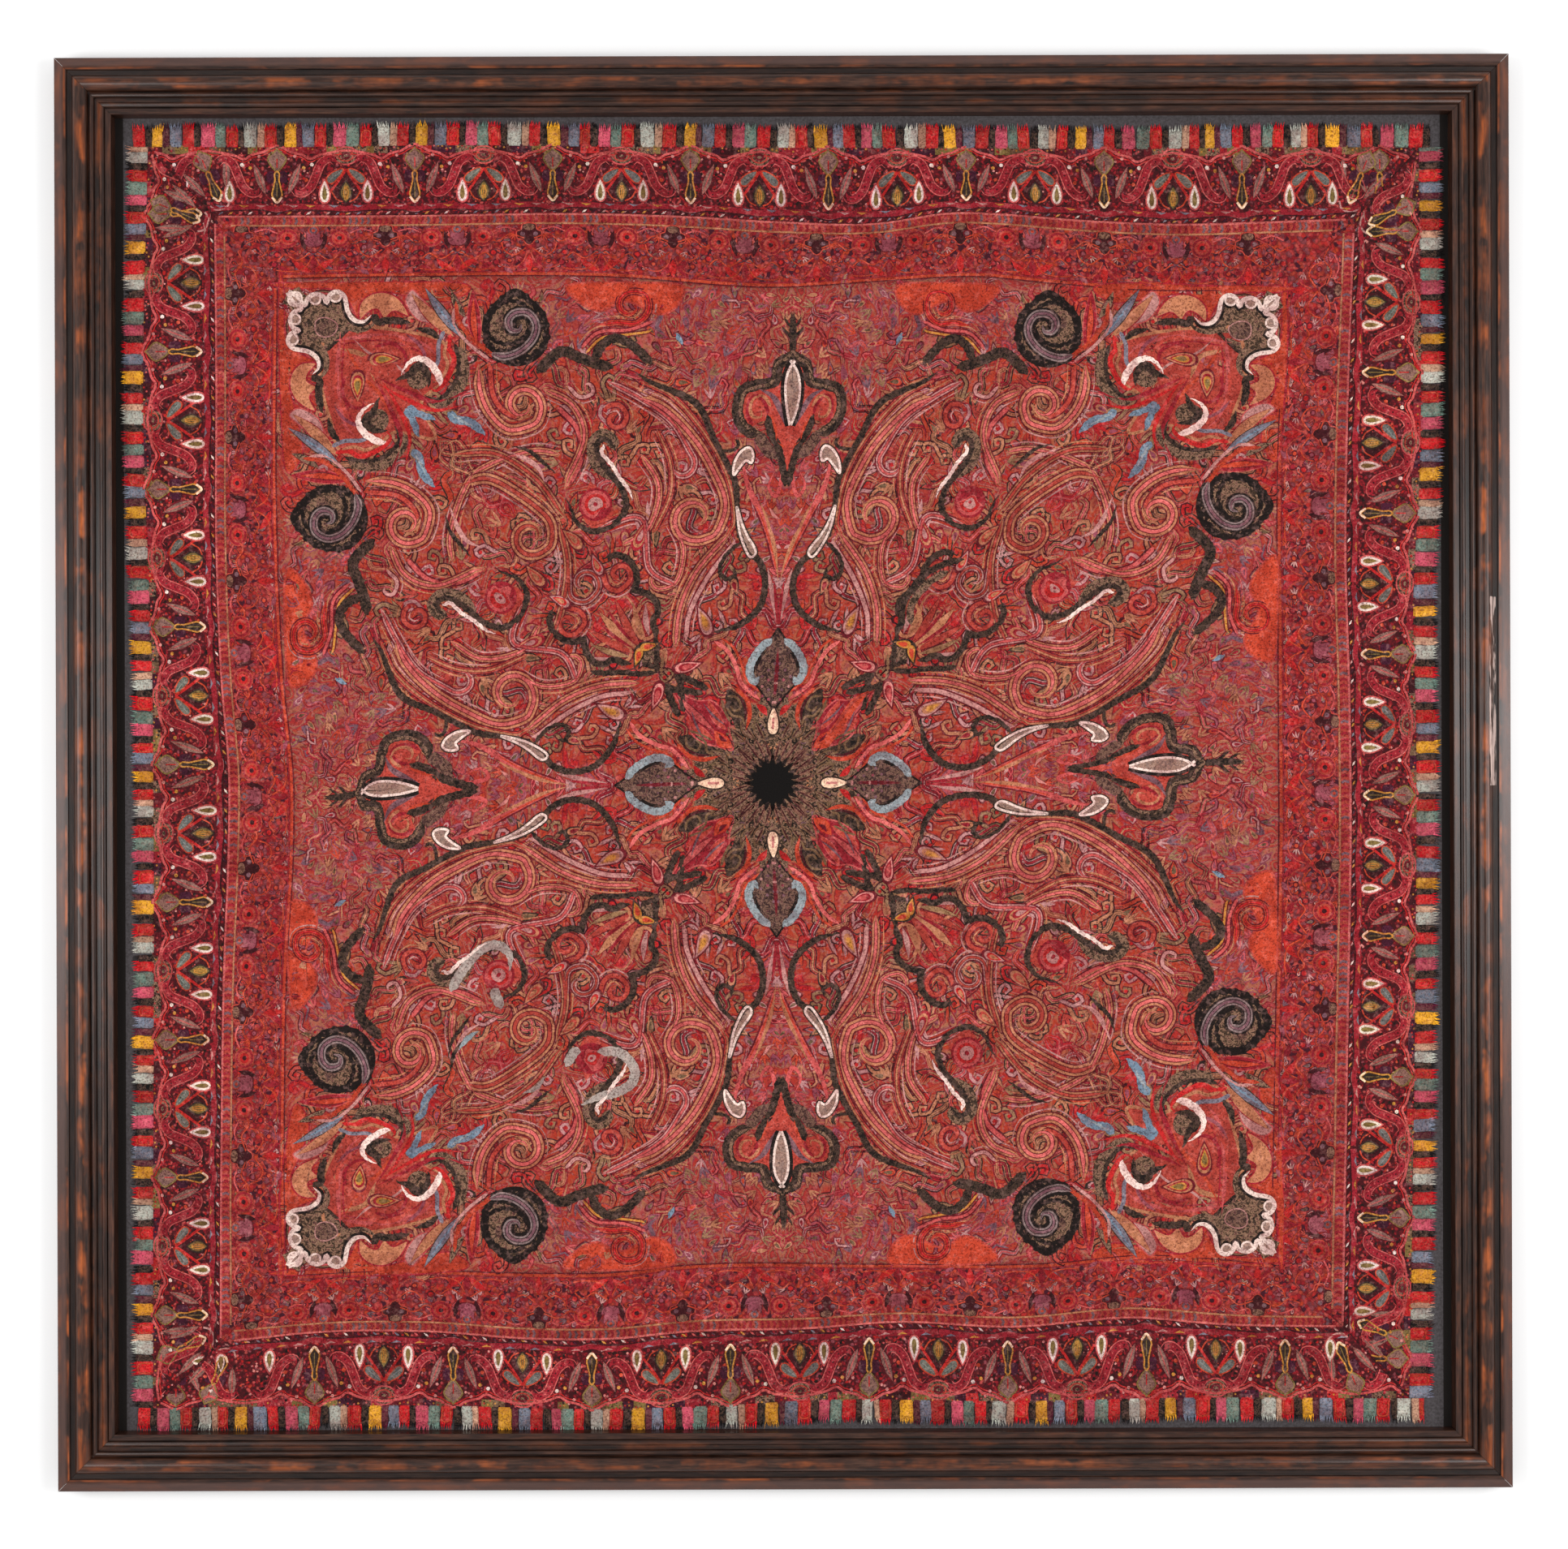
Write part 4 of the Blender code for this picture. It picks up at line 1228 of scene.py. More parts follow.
def leaf_unit():
    """The leaf motif halfway between two palmettes."""
    work = Threadwork()
    heart = both_halves(((0, 62), (10, 48), (22, 34), (20, 24), (10, 18), (0, 16)))
    sheet_patch(work, heart, "maroon", 0.28)
    for mirror in MIRRORS:
        line(work, half_way(((0, 60), (6, 50), (14, 38), (22, 27)), mirror), 3.2, "red", 0.4)
        wing = half_way(LEAF_WING, mirror, True)
        sheet_patch(work, wing, "speck_teal", 0.46)
        line(work, wing, 1.7, "orange", 0.54, closed=True)
        line(work, np.linspace(mirror * (5, 58), mirror * (20, 46), 4), 1.6, "teal", 0.56)
        line(work, half_way(((4, 18), (12, 22), (18, 32)), mirror), 1.8, "orange", 0.44)
    sheet_patch(work, leaf_path((0, 16), (0, 46), 17, 0), "char", 0.48)
    sheet_patch(work, leaf_path((0, 18), (0, 43), 12.5, 0), "olive", 0.54)
    for lean in (-3, 0, 3):
        line(work, np.array(((lean * 0.5, 21.0), (lean, 30.0), (lean * 0.4, 38.0))), 1.3, "ochre", 0.62)
    sheet_patch(work, circle_path((0, 77), 15, 18, 0.75), "speck_khaki", 0.30)
    for radius, width, colour in ((15, 2.0, "rose"), (9, 1.8, "salmon"), (4.5, 3.0, "wine")):
        line(work, circle_path((0, 77), radius, 18, 0.75), width, colour, 0.5, closed=True)
    return work


BLOCK_COLOURS = ("speck_khaki", "crimson", "wine", "maroon", "khaki", "red", "plum", "wine", "olive")


def hem_blocks(start, end):
    """Small pieced blocks of wool between the scalloped line and the hem."""
    work = Threadwork()
    place = start
    while place < end:
        wide = RNG.uniform(9, 30)
        colour = RNG.choice(BLOCK_COLOURS)
        corners = np.array(((place, 80), (place + wide, 80), (place + wide, 91), (place, 91)), float)
        sheet_patch(work, corners, colour, 0.12)
        for step in range(int(wide / 5)):
            spot = (place + 3 + step * 5, RNG.uniform(84, 89))
            dot(work, spot, 1.4, RNG.choice(("rose", "red", "ochre", "maroon")), 0.2, 0.1, 5)
        place += wide
    return work


def ringed(work, spot, *rings):
    """Discs inside each other. Columns: radius, colour."""
    for number, (radius, colour) in enumerate(rings):
        sheet_patch(work, circle_path(spot, radius, 16), colour, 0.28 + 0.06 * number)


# Branching lines beside a cup. Columns: colour, width, points
CUP_LINES = (
    ("orange", 1.8, (4, 40), (18, 30), (30, 36), (34, 48)),
    ("orange", 1.8, (6, 54), (24, 60), (38, 50), (52, 56)),
    ("salmon", 1.8, (2, 34), (8, 20), (20, 12), (36, 16), (40, 26)),
    ("rose", 2.0, (16, 66), (30, 70), (44, 64)),
)
# Ringed dots beside a cup. Columns: along, out, radius, colour
CUP_RINGS = (
    (8, 60, 5, "plum_grey"), (40, 20, 5, "crimson"), (24, 22, 4, "orange"), (26, 44, 4, "mauve"),
    (44, 34, 5, "red"),
)


def inner_unit():
    """One repeat of the inner border: a dark cup near the dentils, with branching orange lines."""
    work = Threadwork()
    cup = both_halves(((0, 76), (8, 74), (10, 66), (15, 64), (15, 54), (8, 52), (4, 46), (0, 44)))
    sheet_patch(work, cup, "maroon", 0.3)
    line(work, cup, 1.6, "salmon", 0.4, closed=True)
    sheet_patch(work, circle_path((0, 70), 7, 12, 0.7), "speck_brown", 0.38)
    for mirror in MIRRORS:
        for colour, width, *points in CUP_LINES:
            line(work, half_way(points, mirror), width, colour, 0.34)
        for s, t, radius, colour in CUP_RINGS:
            ringed(work, mirror * (s, t), (radius, "wine"), (radius * 0.6, colour))
        patch(work, leaf_path(mirror * (2, 26), mirror * (16, 6), 9, 2), "crimson", 0.3, 0.04)
        patch(work, leaf_path(mirror * (20, 4), mirror * (30, 18), 7, 2), "mauve", 0.3, 0.04)
    patch(work, leaf_path((0, 30), (0, 4), 9), "red", 0.32, 0.04)
    packing(work)
    return work


PACKED_PAIRS = 24


def packing(work):
    """Small mirrored leaves and botehs that pack a repeat of the inner border."""
    for _ in range(PACKED_PAIRS):
        spot = np.array((RNG.uniform(3, 45), RNG.uniform(9, 72)))
        angle, size = RNG.uniform(0, 2 * math.pi), RNG.uniform(6.5, 10)
        body = RNG.choice(("mauve", "rose", "crimson", "grey_pink", "plum_grey", "salmon", "orange"))
        edge, kind = RNG.choice(("maroon", "wine", "plum")), RNG.choice(("leaves", "boteh", "boteh"))
        small_motif(work, spot, angle, size, body, edge, kind)
        small_motif(work, spot * (-1, 1), math.pi - angle, size, body, edge, kind)


def flower_unit():
    """The flower between two cups, with a ringed rosette on each side."""
    work = Threadwork()
    for angle in np.linspace(-1.3, 1.3, 5):
        tip = np.array((math.sin(angle) * 14, 50 + math.cos(angle) * 22))
        patch(work, leaf_path((0, 44), tip, 10), "wine", 0.28, 0.04)
        patch(work, leaf_path((0, 45), tip, 7), "mauve", 0.32, 0.06)
    ringed(work, (0, 68), (7, "salmon"), (5, "plum_grey"), (2, "orange"))
    for mirror in MIRRORS:
        ringed(work, mirror * (32, 57), (14, "salmon"), (12.5, "crimson"), (9.5, "salmon"), (6.5, "red"),
               (3, "maroon"))
        patch(work, leaf_path(mirror * (10, 40), mirror * (16, 66), 7), "maroon", 0.3, 0.04)
        for points in (((4, 36), (20, 26), (34, 34), (44, 26)), ((2, 30), (12, 14), (30, 10), (46, 12))):
            line(work, half_way(points, mirror), 1.8, "orange", 0.36)
        patch(work, leaf_path(mirror * (2, 8), mirror * (26, 26), 9, 2), "red", 0.28, 0.04)
        patch(work, leaf_path(mirror * (30, 8), mirror * (44, 20), 8, 2), "crimson", 0.28, 0.04)
    patch(work, leaf_path((0, 6), (0, 34), 8), "crimson", 0.32, 0.04)
    packing(work)
    return work


# Lines along the inner border. Columns: out, width, colour, lift
INNER_LINES = (
    (82.5, 12, "salmon", 0.2), (75, 2.4, "tan", 0.3), (88, 2.8, "pale_rose", 0.3),
    (3, 4.5, "orange", 0.2), (0.6, 1.6, "wine", 0.3), (6.5, 1.4, "crimson", 0.3),
)
DENTIL_PITCH = 7.4
DENTILS_LENGTH = 1420


def dentils(length):
    """The checked strip along the seam, between two pale lines, and the lines along the field."""
    work = Threadwork()
    for out, width, colour, lift in INNER_LINES:
        way = np.array([(s, out) for s in np.linspace(-length / 2, length / 2, 90)])
        line(work, way, width, colour, lift)
    for place in np.arange(-length / 2, length / 2, DENTIL_PITCH):
        way = np.array(((place, 77.0), (place + 2.2, 81.0), (place + 0.6, 86.5)))
        line(work, way, 3.2, "crimson" if RNG.random() < 0.7 else "plum_grey", 0.34)
    return work


# Where each side's repeats stand: first palmette or cup, pitch and number, in pixels along the side
OUTER_REPEATS = {"top": (-621.2, 169.7, 8), "bottom": (-579.4, 170.7, 8), "left": (-665.8, 169.5, 8),
                 "right": (-550.3, 173.5, 7)}
INNER_REPEATS = {"top": (-488.0, 177.0, 6), "bottom": (-480.0, 177.0, 6), "left": (-470.0, 177.0, 6),
                 "right": (-470.0, 177.0, 6)}
# The lean of the palmettes at a strip's ends, and how near a seam's end a leaf stands
CORNER_TURN = 0.38
CORNER_GAP = 40
# Each ring's inner and outer line, and its charted depth in pixels
RINGS = {"inner": ("field", "seam", 89.0), "outer": ("seam", "hem", 91.0)}


def border_place(side, ring):
    """A way to turn places along a border, and out from its inner line, into metres."""
    inner, outer, depth = RINGS[ring]

    def place(spots):
        along = spots[:, 0] * PIXEL
        start, end = line_out(inner, side, along), line_out(outer, side, along)
        out = start + (end - start) * spots[:, 1] / depth
        return np.stack(on_side(side, along, out), axis=1)

    return place


def join(parts):
    """One Threadwork of several, each moved along by its shift and tinted a little."""
    work = Threadwork()
    for part, shift in parts:
        spots, lifts, colours, triangles, quads = part.arrays()
        tint = RNG.uniform(0.88, 1.10) * np.append(RNG.uniform(0.95, 1.05, 3), 1.0)
        tint[3] = 1.0
        work.spots.append(spots + (shift, 0.0))
        work.lifts.append(lifts)
        work.colours.append(colours * tint)
        work.triangles.append(triangles + work.count)
        work.quads.append(quads + work.count)
        work.count += len(spots)
    return work


def mitred(work, side, ring):
    """The same threadwork without the faces that reach past the strip's mitred ends."""
    spots, lifts, colours, triangles, quads = work.arrays()
    inner, outer, depth = RINGS[ring]
    near, far = side_table(inner, side)[0] / PIXEL, side_table(outer, side)[0] / PIXEL
    share = spots[:, 1] / depth
    inside = spots[:, 0] > near[0] + (far[0] - near[0]) * share
    inside &= spots[:, 0] < near[-1] + (far[-1] - near[-1]) * share
    triangles, quads = (faces[inside[faces].all(axis=1)] for faces in (triangles, quads))
    used = np.zeros(len(spots), bool)
    used[triangles] = True
    used[quads] = True
    order = np.cumsum(used) - 1
    kept = Threadwork()
    kept.spots, kept.lifts, kept.colours = [spots[used]], [lifts[used]], [colours[used]]
    kept.triangles, kept.quads = [order[triangles]], [order[quads]]
    return kept


def border_works(side):
    """Threadwork of both borders on a side."""
    first, pitch, count = OUTER_REPEATS[side]
    outer, leaf = outer_unit(), leaf_unit()
    seam, hem = (side_table(name, side)[0] / PIXEL for name in ("seam", "hem"))
    parts = [(hem_blocks(hem[0], hem[-1]), 0.0)]
    parts += [(outer, first + pitch * i) for i in range(-1, count + 1)]
    halfway = first + pitch * (np.arange(count + 1) - 0.5)
    parts += [(leaf, s) for s in halfway if seam[0] + CORNER_GAP < s < seam[-1] - CORNER_GAP]
    ends = Threadwork(0.1)
    palmette(ends, CORNER_TURN, (seam[0] - 6, 0))
    palmette(ends, -CORNER_TURN, (seam[-1] + 6, 0))
    parts.append((ends, 0.0))
    yield "outer", mitred(join(parts), side, "outer")
    first, pitch, count = INNER_REPEATS[side]
    urn, flower = inner_unit(), flower_unit()
    parts = [(dentils(DENTILS_LENGTH), 0.0)]
    parts += [(urn, first + pitch * i) for i in range(-1, count + 1)]
    parts += [(flower, first + pitch * (i - 0.5)) for i in range(count + 1)]
    yield "inner", mitred(join(parts), side, "inner")


# Fringe

TAB_COLOURS = {
    "red": rgb(196, 8, 26), "ink": rgb(12, 9, 11), "pink": rgb(198, 78, 104), "green": rgb(104, 138, 126),
    "mint": rgb(178, 192, 180), "tan": rgb(192, 158, 130), "yellow": rgb(224, 168, 34),
    "plum": rgb(84, 18, 44), "blue": rgb(112, 130, 148),
}
TAB_ORDER = (
    "red", "ink", "pink", "green", "red", "ink", "mint", "tan", "red", "ink", "yellow", "plum", "blue",
)
# The longest tab on each side, and how far the row of tabs goes past the hem's corners, in pixels
TAB_LENGTH = {"top": 24.0, "bottom": 24.5, "left": 21.0, "right": 23.5}
FRINGE_OVERHANG = {"top": 16, "bottom": 16, "left": -2, "right": -2}
# How far loose ends may reach past the longest tab, and how wide tabs are, in pixels
TAB_REACH = 6.0
TAB_WIDTHS = (12.5, 17.5)
NARROW_TABS = ("ink", "plum", "tan")
NARROW_SHARE = 0.55


def fringe_work(side):
    """Tabs along one side, each a small woven block with frayed ends. Places: along, out from the hem."""
    work = Threadwork()
    places, _ = side_table("hem", side)
    start, end = places[0] / PIXEL - FRINGE_OVERHANG[side], places[-1] / PIXEL + FRINGE_OVERHANG[side]
    number = int(RNG.integers(0, len(TAB_ORDER)))
    spot = start
    while spot < end - 5:
        name = TAB_ORDER[number % len(TAB_ORDER)]
        wide = RNG.uniform(*TAB_WIDTHS) * (NARROW_SHARE if name in NARROW_TABS else 1.0)
        wide = min(wide, end - spot)
        colour = np.array(TAB_COLOURS[name]) * RNG.uniform(0.82, 1.15)
        long = TAB_LENGTH[side] * RNG.uniform(0.78, 1.0)
        skew = RNG.uniform(-1.5, 1.5)
        tab_block(work, spot, wide, long, skew, colour)
        tab_ends(work, spot, wide, long, skew, colour, TAB_LENGTH[side] + TAB_REACH)
        if name == "red" and RNG.random() < 0.6:
            far, near = (2.8 + skew, long - 4), (wide - 3 + skew, long - 4)
            inset = np.array(((2.5, 1.0), far, near, (wide - 2.8, 1.0)))
            line(work, smooth_path(inset + (spot, 0), 3.0), 1.6, "orange", 1.5)
        spot += wide + RNG.uniform(-0.8, 1.2)
        number += 1
    return work


def tab_block(work, spot, wide, long, skew, colour):
    """A crowned block, closed at its sides and end."""
    steps, rows = 4, 5
    s = np.linspace(0, 1, steps + 1)
    top = []
    for row in range(rows + 1):
        t = row / rows
        crown = 0.35 + 0.65 * np.sin(math.pi * np.clip(s, 0.0, 1.0)) ** 0.5
        edge = spot + wide * s + skew * t + 0.35 * math.sin(9 * t + spot)
        top.append(np.column_stack((edge, np.full(steps + 1, -2.0 + (long + 2.0) * t), crown)))
    top = np.vstack(top)
    index = np.arange((steps + 1) * (rows + 1)).reshape(rows + 1, steps + 1)
    quads = grid_quads(index)
    rim = np.concatenate((index[0], index[1:, -1], index[-1, -2::-1], index[-2:0:-1, 0]))
    skirt = np.arange(len(rim)) + len(top)
    following, below = np.roll(rim, -1), np.roll(skirt, -1)
    walls = np.stack((rim, skirt, below, following), axis=1)
    low = top[rim].copy()
    low[:, 2] = -0.9
    points = np.vstack((top, low))
    work.add(points[:, :2], points[:, 2] - 0.4, (*colour, 0.25), quads=np.vstack((quads, walls)))


def tab_ends(work, spot, wide, long, skew, colour, limit):
    """Loose ends of yarn beyond a block, within the limit from the hem."""
    count = max(3, int(wide / 1.5))
    for number in range(count):
        start = np.array((spot + skew + wide * (number + 0.5) / count, long - 2.0))
        reach = min(limit - long, 9.0) * RNG.uniform(0.55, 1.0)
        lean = RNG.uniform(-2.4, 2.4)
        way = smooth_path((start, start + (lean * 0.3, reach * 0.5), start + (lean, reach + 2.0)), 2.5)
        shade = np.array(colour) * RNG.uniform(0.6, 1.35)
        band(work, way, RNG.uniform(0.9, 1.7), shade, RNG.uniform(-0.2, 0.5), 0.4, (0.0, 0.6))


def fringe_place(side):
    def place(spots):
        along = spots[:, 0] * PIXEL
        out = line_out("hem", side, along) + spots[:, 1] * PIXEL
        return np.stack(on_side(side, along, out), axis=1)

    return place


# Materials

class Nodes:
    """A material's node tree, with a short way to add and link its nodes."""

    def __init__(self, name):
        self.material = bpy.data.materials.new(name)
        self.material.use_nodes = True
        self.tree = self.material.node_tree
        self.shader = self.tree.nodes["Principled BSDF"]

    def add(self, kind, inputs=None, **settings):
        node = self.tree.nodes.new(kind)
        for key, value in settings.items():
            setattr(node, key, value)
        for key, value in (inputs or {}).items():
            if isinstance(value, bpy.types.NodeSocket):
                self.tree.links.new(value, node.inputs[key])
            else:
                node.inputs[key].default_value = value
        return node

    def math(self, operation, a, b=0.0, clamp=False):
        return self.add("ShaderNodeMath", {0: a, 1: b}, operation=operation, use_clamp=clamp).outputs[0]

    def noise(self, vector, scale, detail=3.0, roughness=0.55, distortion=0.0):
        inputs = {"Vector": vector, "Scale": scale, "Detail": detail, "Roughness": roughness,
                  "Distortion": distortion}
        return self.add("ShaderNodeTexNoise", inputs).outputs["Fac"]

    def mix(self, share, a, b, blend="MIX"):
        node = self.add("ShaderNodeMix", data_type="RGBA", blend_type=blend)
        for number, value in ((0, share), (6, a), (7, b)):
            if isinstance(value, bpy.types.NodeSocket):
                self.tree.links.new(value, node.inputs[number])
            elif number == 0:
                node.inputs[0].default_value = value
            else:
                node.inputs[number].default_value = (*value, 1.0)
        return node.outputs[2]

    def ramp(self, share, stops, interpolation="LINEAR"):
        node = self.add("ShaderNodeValToRGB", {"Fac": share})
        node.color_ramp.interpolation = interpolation
        elements = node.color_ramp.elements
        while len(elements) > 1:
            elements.remove(elements[-1])
        elements[0].position, elements[0].color = stops[0][0], (*stops[0][1], 1.0)
        for position, colour in stops[1:]:
            elements.new(position).color = (*colour, 1.0)
        return node.outputs["Color"]

    def fade(self, share, *stops):
        """A grey ramp. Each stop is a place and a value."""
        return self.ramp(share, [(place, (value, value, value)) for place, value in stops])

    def tint(self, colour, shade):
        return self.mix(1.0, colour, shade, "MULTIPLY")

    def position(self):
        return self.add("ShaderNodeTexCoord").outputs["Object"]

    def woven(self, colour, roughness=0.9):
        """Finish the material as matt twill with a faint sheen."""
        return self.finish(colour, roughness, weave_height(self, self.position()), 0.5, 0.0005, 0.05)

    def finish(self, colour, roughness, bump, strength, distance, sheen=0.0):
        self.tree.links.new(colour, self.shader.inputs["Base Color"])
        if isinstance(roughness, bpy.types.NodeSocket):
            self.tree.links.new(roughness, self.shader.inputs["Roughness"])
        else:
            self.shader.inputs["Roughness"].default_value = roughness
        node = self.add("ShaderNodeBump", {"Height": bump, "Strength": strength, "Distance": distance})
        self.tree.links.new(node.outputs["Normal"], self.shader.inputs["Normal"])
        self.shader.inputs["Sheen Weight"].default_value = sheen
        if sheen:
            self.shader.inputs["Specular IOR Level"].default_value = 0.15
        self.shader.inputs["Sheen Roughness"].default_value = 0.5
        return self.material


# Colours of the flecks and of the woven grounds. Columns: place on the ramp, colour
FLECK_STOPS = (
    (0.38, THREADS["black"]), (0.45, THREADS["char"]), (0.50, rgb(118, 92, 72)),
    (0.56, rgb(156, 130, 104)), (0.61, rgb(104, 56, 62)), (0.67, THREADS["char"]),
)
FIELD_STOPS = (
    (0.00, THREADS["salmon"]), (0.14, THREADS["tan"]), (0.20, THREADS["wine"]), (0.25, THREADS["red"]),
    (0.42, THREADS["salmon"]), (0.50, THREADS["crimson"]), (0.56, THREADS["rose"]), (0.68, THREADS["tan"]),
    (0.76, THREADS["mauve"]), (0.82, THREADS["red"]), (0.93, THREADS["orange"]),
)
INNER_STOPS = (
    (0.00, rgb(176, 66, 70)), (0.20, THREADS["crimson"]), (0.36, rgb(176, 48, 48)),
    (0.50, THREADS["mauve"]), (0.64, THREADS["rose"]), (0.78, THREADS["plum"]),
    (0.86, THREADS["salmon"]), (0.95, THREADS["orange"]),
)
OUTER_STOPS = (
    (0.00, THREADS["crimson"]), (0.24, THREADS["wine"]), (0.44, THREADS["maroon"]),
    (0.56, THREADS["crimson"]), (0.68, THREADS["rose"]), (0.78, THREADS["mauve"]),
    (0.86, THREADS["black"]), (0.95, THREADS["red"]),
)


def weave_height(nodes, position):
    """Twill: fine slanting ribs, broken up by uneven yarn."""
    ribs = nodes.add("ShaderNodeTexWave", {"Vector": position, "Scale": 210.0, "Distortion": 1.5,
                                           "Detail": 1.0, "Detail Scale": 2.0}, bands_direction="DIAGONAL")
    yarn = nodes.noise(position, 900.0, 2.0)
    return nodes.math("ADD", nodes.math("MULTIPLY", ribs.outputs["Fac"], 0.5), yarn)


def embroidery_material():
    """Wool in the thread's own colour. The attribute's alpha is how flecked with black and khaki it is."""
    nodes = Nodes("wool_embroidery")
    position = nodes.position()
    attribute = nodes.add("ShaderNodeAttribute", attribute_name="thread")
    thread, fleck = attribute.outputs["Color"], attribute.outputs["Alpha"]
    speck = nodes.noise(position, 380.0, 3.0, 0.75)
    worn = nodes.noise(position, 150.0, 4.0, 0.65)
    darker = nodes.tint(thread, (0.34, 0.26, 0.26))
    colour = nodes.mix(nodes.fade(speck, (0.36, 1), (0.53, 0)), thread, darker)
    lighter = nodes.mix(0.16, nodes.tint(colour, (1.35, 1.35, 1.35)), (0.50, 0.31, 0.27))
    colour = nodes.mix(nodes.fade(worn, (0.52, 0), (0.64, 1)), colour, lighter)
    curls = nodes.noise(position, 190.0, 2.0, 0.6, 1.2)
    flecks = nodes.ramp(curls, FLECK_STOPS)
    blotch = nodes.noise(position, 38.0, 2.0)
    deeper = nodes.tint(colour, (0.66, 0.52, 0.54))
    colour = nodes.mix(nodes.fade(blotch, (0.40, 0.8), (0.54, 0)), colour, deeper)
    colour = nodes.mix(nodes.math("MULTIPLY", fleck, 0.8), colour, flecks)
    colour = nodes.tint(colour, (1.12, 0.96, 0.95))
    return nodes.woven(colour, 0.88)


def field_material():
    """Woven ground: bands that follow the contours of a folded noise, as curling scrollwork does."""
    nodes = Nodes("field_ground")
    position = nodes.position()
    chart = nodes.add("ShaderNodeUVMap", uv_map="chart").outputs["UV"]
    parts = nodes.add("ShaderNodeSeparateXYZ", {0: chart})
    across, up = (nodes.math("ABSOLUTE", parts.outputs[i]) for i in (0, 1))
    low, high = nodes.math("MINIMUM", across, up), nodes.math("MAXIMUM", across, up)
    folded = nodes.add("ShaderNodeCombineXYZ", {0: low, 1: high}).outputs[0]
    swirl = nodes.noise(folded, 9.0, 2.5, 0.5, 1.6)
    rings = nodes.math("FRACT", nodes.math("MULTIPLY", swirl, 9.0))
    colour = nodes.ramp(rings, FIELD_STOPS)
    tone = nodes.noise(folded, 5.0, 2.0)
    lobe = nodes.add("ShaderNodeAttribute", attribute_name="lobe").outputs["Fac"]
    warm = nodes.fade(tone, (0.44, 0), (0.60, 0.75))
    colour = nodes.mix(nodes.math("MULTIPLY", warm, lobe), colour, THREADS["orange"])
    outer = nodes.math("SUBTRACT", 1.0, lobe)
    colour = nodes.mix(nodes.math("MULTIPLY", outer, 0.25), colour, rgb(150, 72, 68))
    speck = nodes.noise(position, 330.0, 4.0, 0.75)
    colour = nodes.mix(nodes.fade(speck, (0.38, 0.75), (0.5, 0)), colour,
                       THREADS["wine"])
    pale = nodes.noise(position, 200.0, 3.0, 0.7)
    lighter = nodes.mix(0.5, colour, THREADS["grey_pink"])
    colour = nodes.mix(nodes.fade(pale, (0.54, 0), (0.64, 0.9)), colour, lighter)
    colour = nodes.tint(colour, (0.90, 0.74, 0.72))
    return nodes.woven(colour)


def border_material(name, cell, stops, shade, depth):
    """Woven ground in small cells of colour, as closely packed leaves and dots give."""
    nodes = Nodes(name)
    position = nodes.position()
    wander = nodes.add("ShaderNodeTexNoise", {"Vector": position, "Scale": 60.0, "Detail": 2.0})
    moved = nodes.add("ShaderNodeVectorMath", {0: wander.outputs["Color"], 1: (0.5, 0.5, 0.5)},
                      operation="SUBTRACT").outputs[0]
    moved = nodes.add("ShaderNodeVectorMath", {0: moved, "Scale": 0.012}, operation="SCALE").outputs[0]
    place = nodes.add("ShaderNodeVectorMath", {0: position, 1: moved}, operation="ADD").outputs[0]
    cells = nodes.add("ShaderNodeTexVoronoi", {"Vector": place, "Scale": 1.0 / cell, "Randomness": 0.9})
    pick = nodes.add("ShaderNodeSeparateColor", {0: cells.outputs["Color"]}).outputs[0]
    colour = nodes.ramp(pick, stops, "CONSTANT")
    gaps = nodes.fade(cells.outputs["Distance"], (0.35, 0), (0.62, depth))
    colour = nodes.mix(gaps, colour, THREADS["maroon"])
    speck = nodes.noise(position, 420.0, 3.0, 0.7)
    colour = nodes.mix(nodes.fade(speck, (0.36, depth), (0.5, 0)), colour,
                       THREADS["maroon"])
    colour = nodes.tint(colour, shade)
    return nodes.woven(colour)


# Cloth sheets

# Cells along a sheet and across a strip, and the gap at a seam in metres
SHEET_STEPS = 110
STRIP_STEPS_ACROSS = 9
SEAM = 0.0003
# Pixels to one unit of the charts that are kept as maps
CHART_UNIT = 1000


def lobe_share(chart):
    """1 inside the figure that the dark outlines draw, 0 outside it, and between them near its corners."""
    low, high = np.sort(np.abs(chart), axis=1).T
    edge = np.interp(-low, LOBE_EDGE_X, LOBE_EDGE_Y)
    return np.clip((edge - high) / 20 + 0.5, 0, 1) * (low < LOBE_END) + 0.7 * (low >= LOBE_END)


def sheet_mesh(name, plan, chart, material):
    """A thin closed shell over a grid of places, with the pattern's own coordinates kept as a map."""
    rows, columns = plan.shape[:2]
    flat = plan.reshape(-1, 2)
    height = cloth_top(flat[:, 0], flat[:, 1])
    quads = grid_quads(np.arange(rows * columns).reshape(rows, columns))
    a, b, d = flat[quads[:, 0]], flat[quads[:, 1]], flat[quads[:, 3]]
    if np.cross(b - a, d - a).sum() < 0:
        quads = quads[:, ::-1]
    obj = mesh_object(name, np.column_stack((flat, height)), np.zeros((0, 3), int), quads, None, material)
    layer = obj.data.uv_layers.new(name="chart")
    corners = np.empty(len(obj.data.loops), np.int32)
    obj.data.loops.foreach_get("vertex_index", corners)
    layer.data.foreach_set("uv", chart.reshape(-1, 2)[corners].ravel())
    wall = obj.modifiers.new("wall", "SOLIDIFY")
    wall.thickness = CLOTH_THICKNESS
    wall.offset = -1.0
    return obj


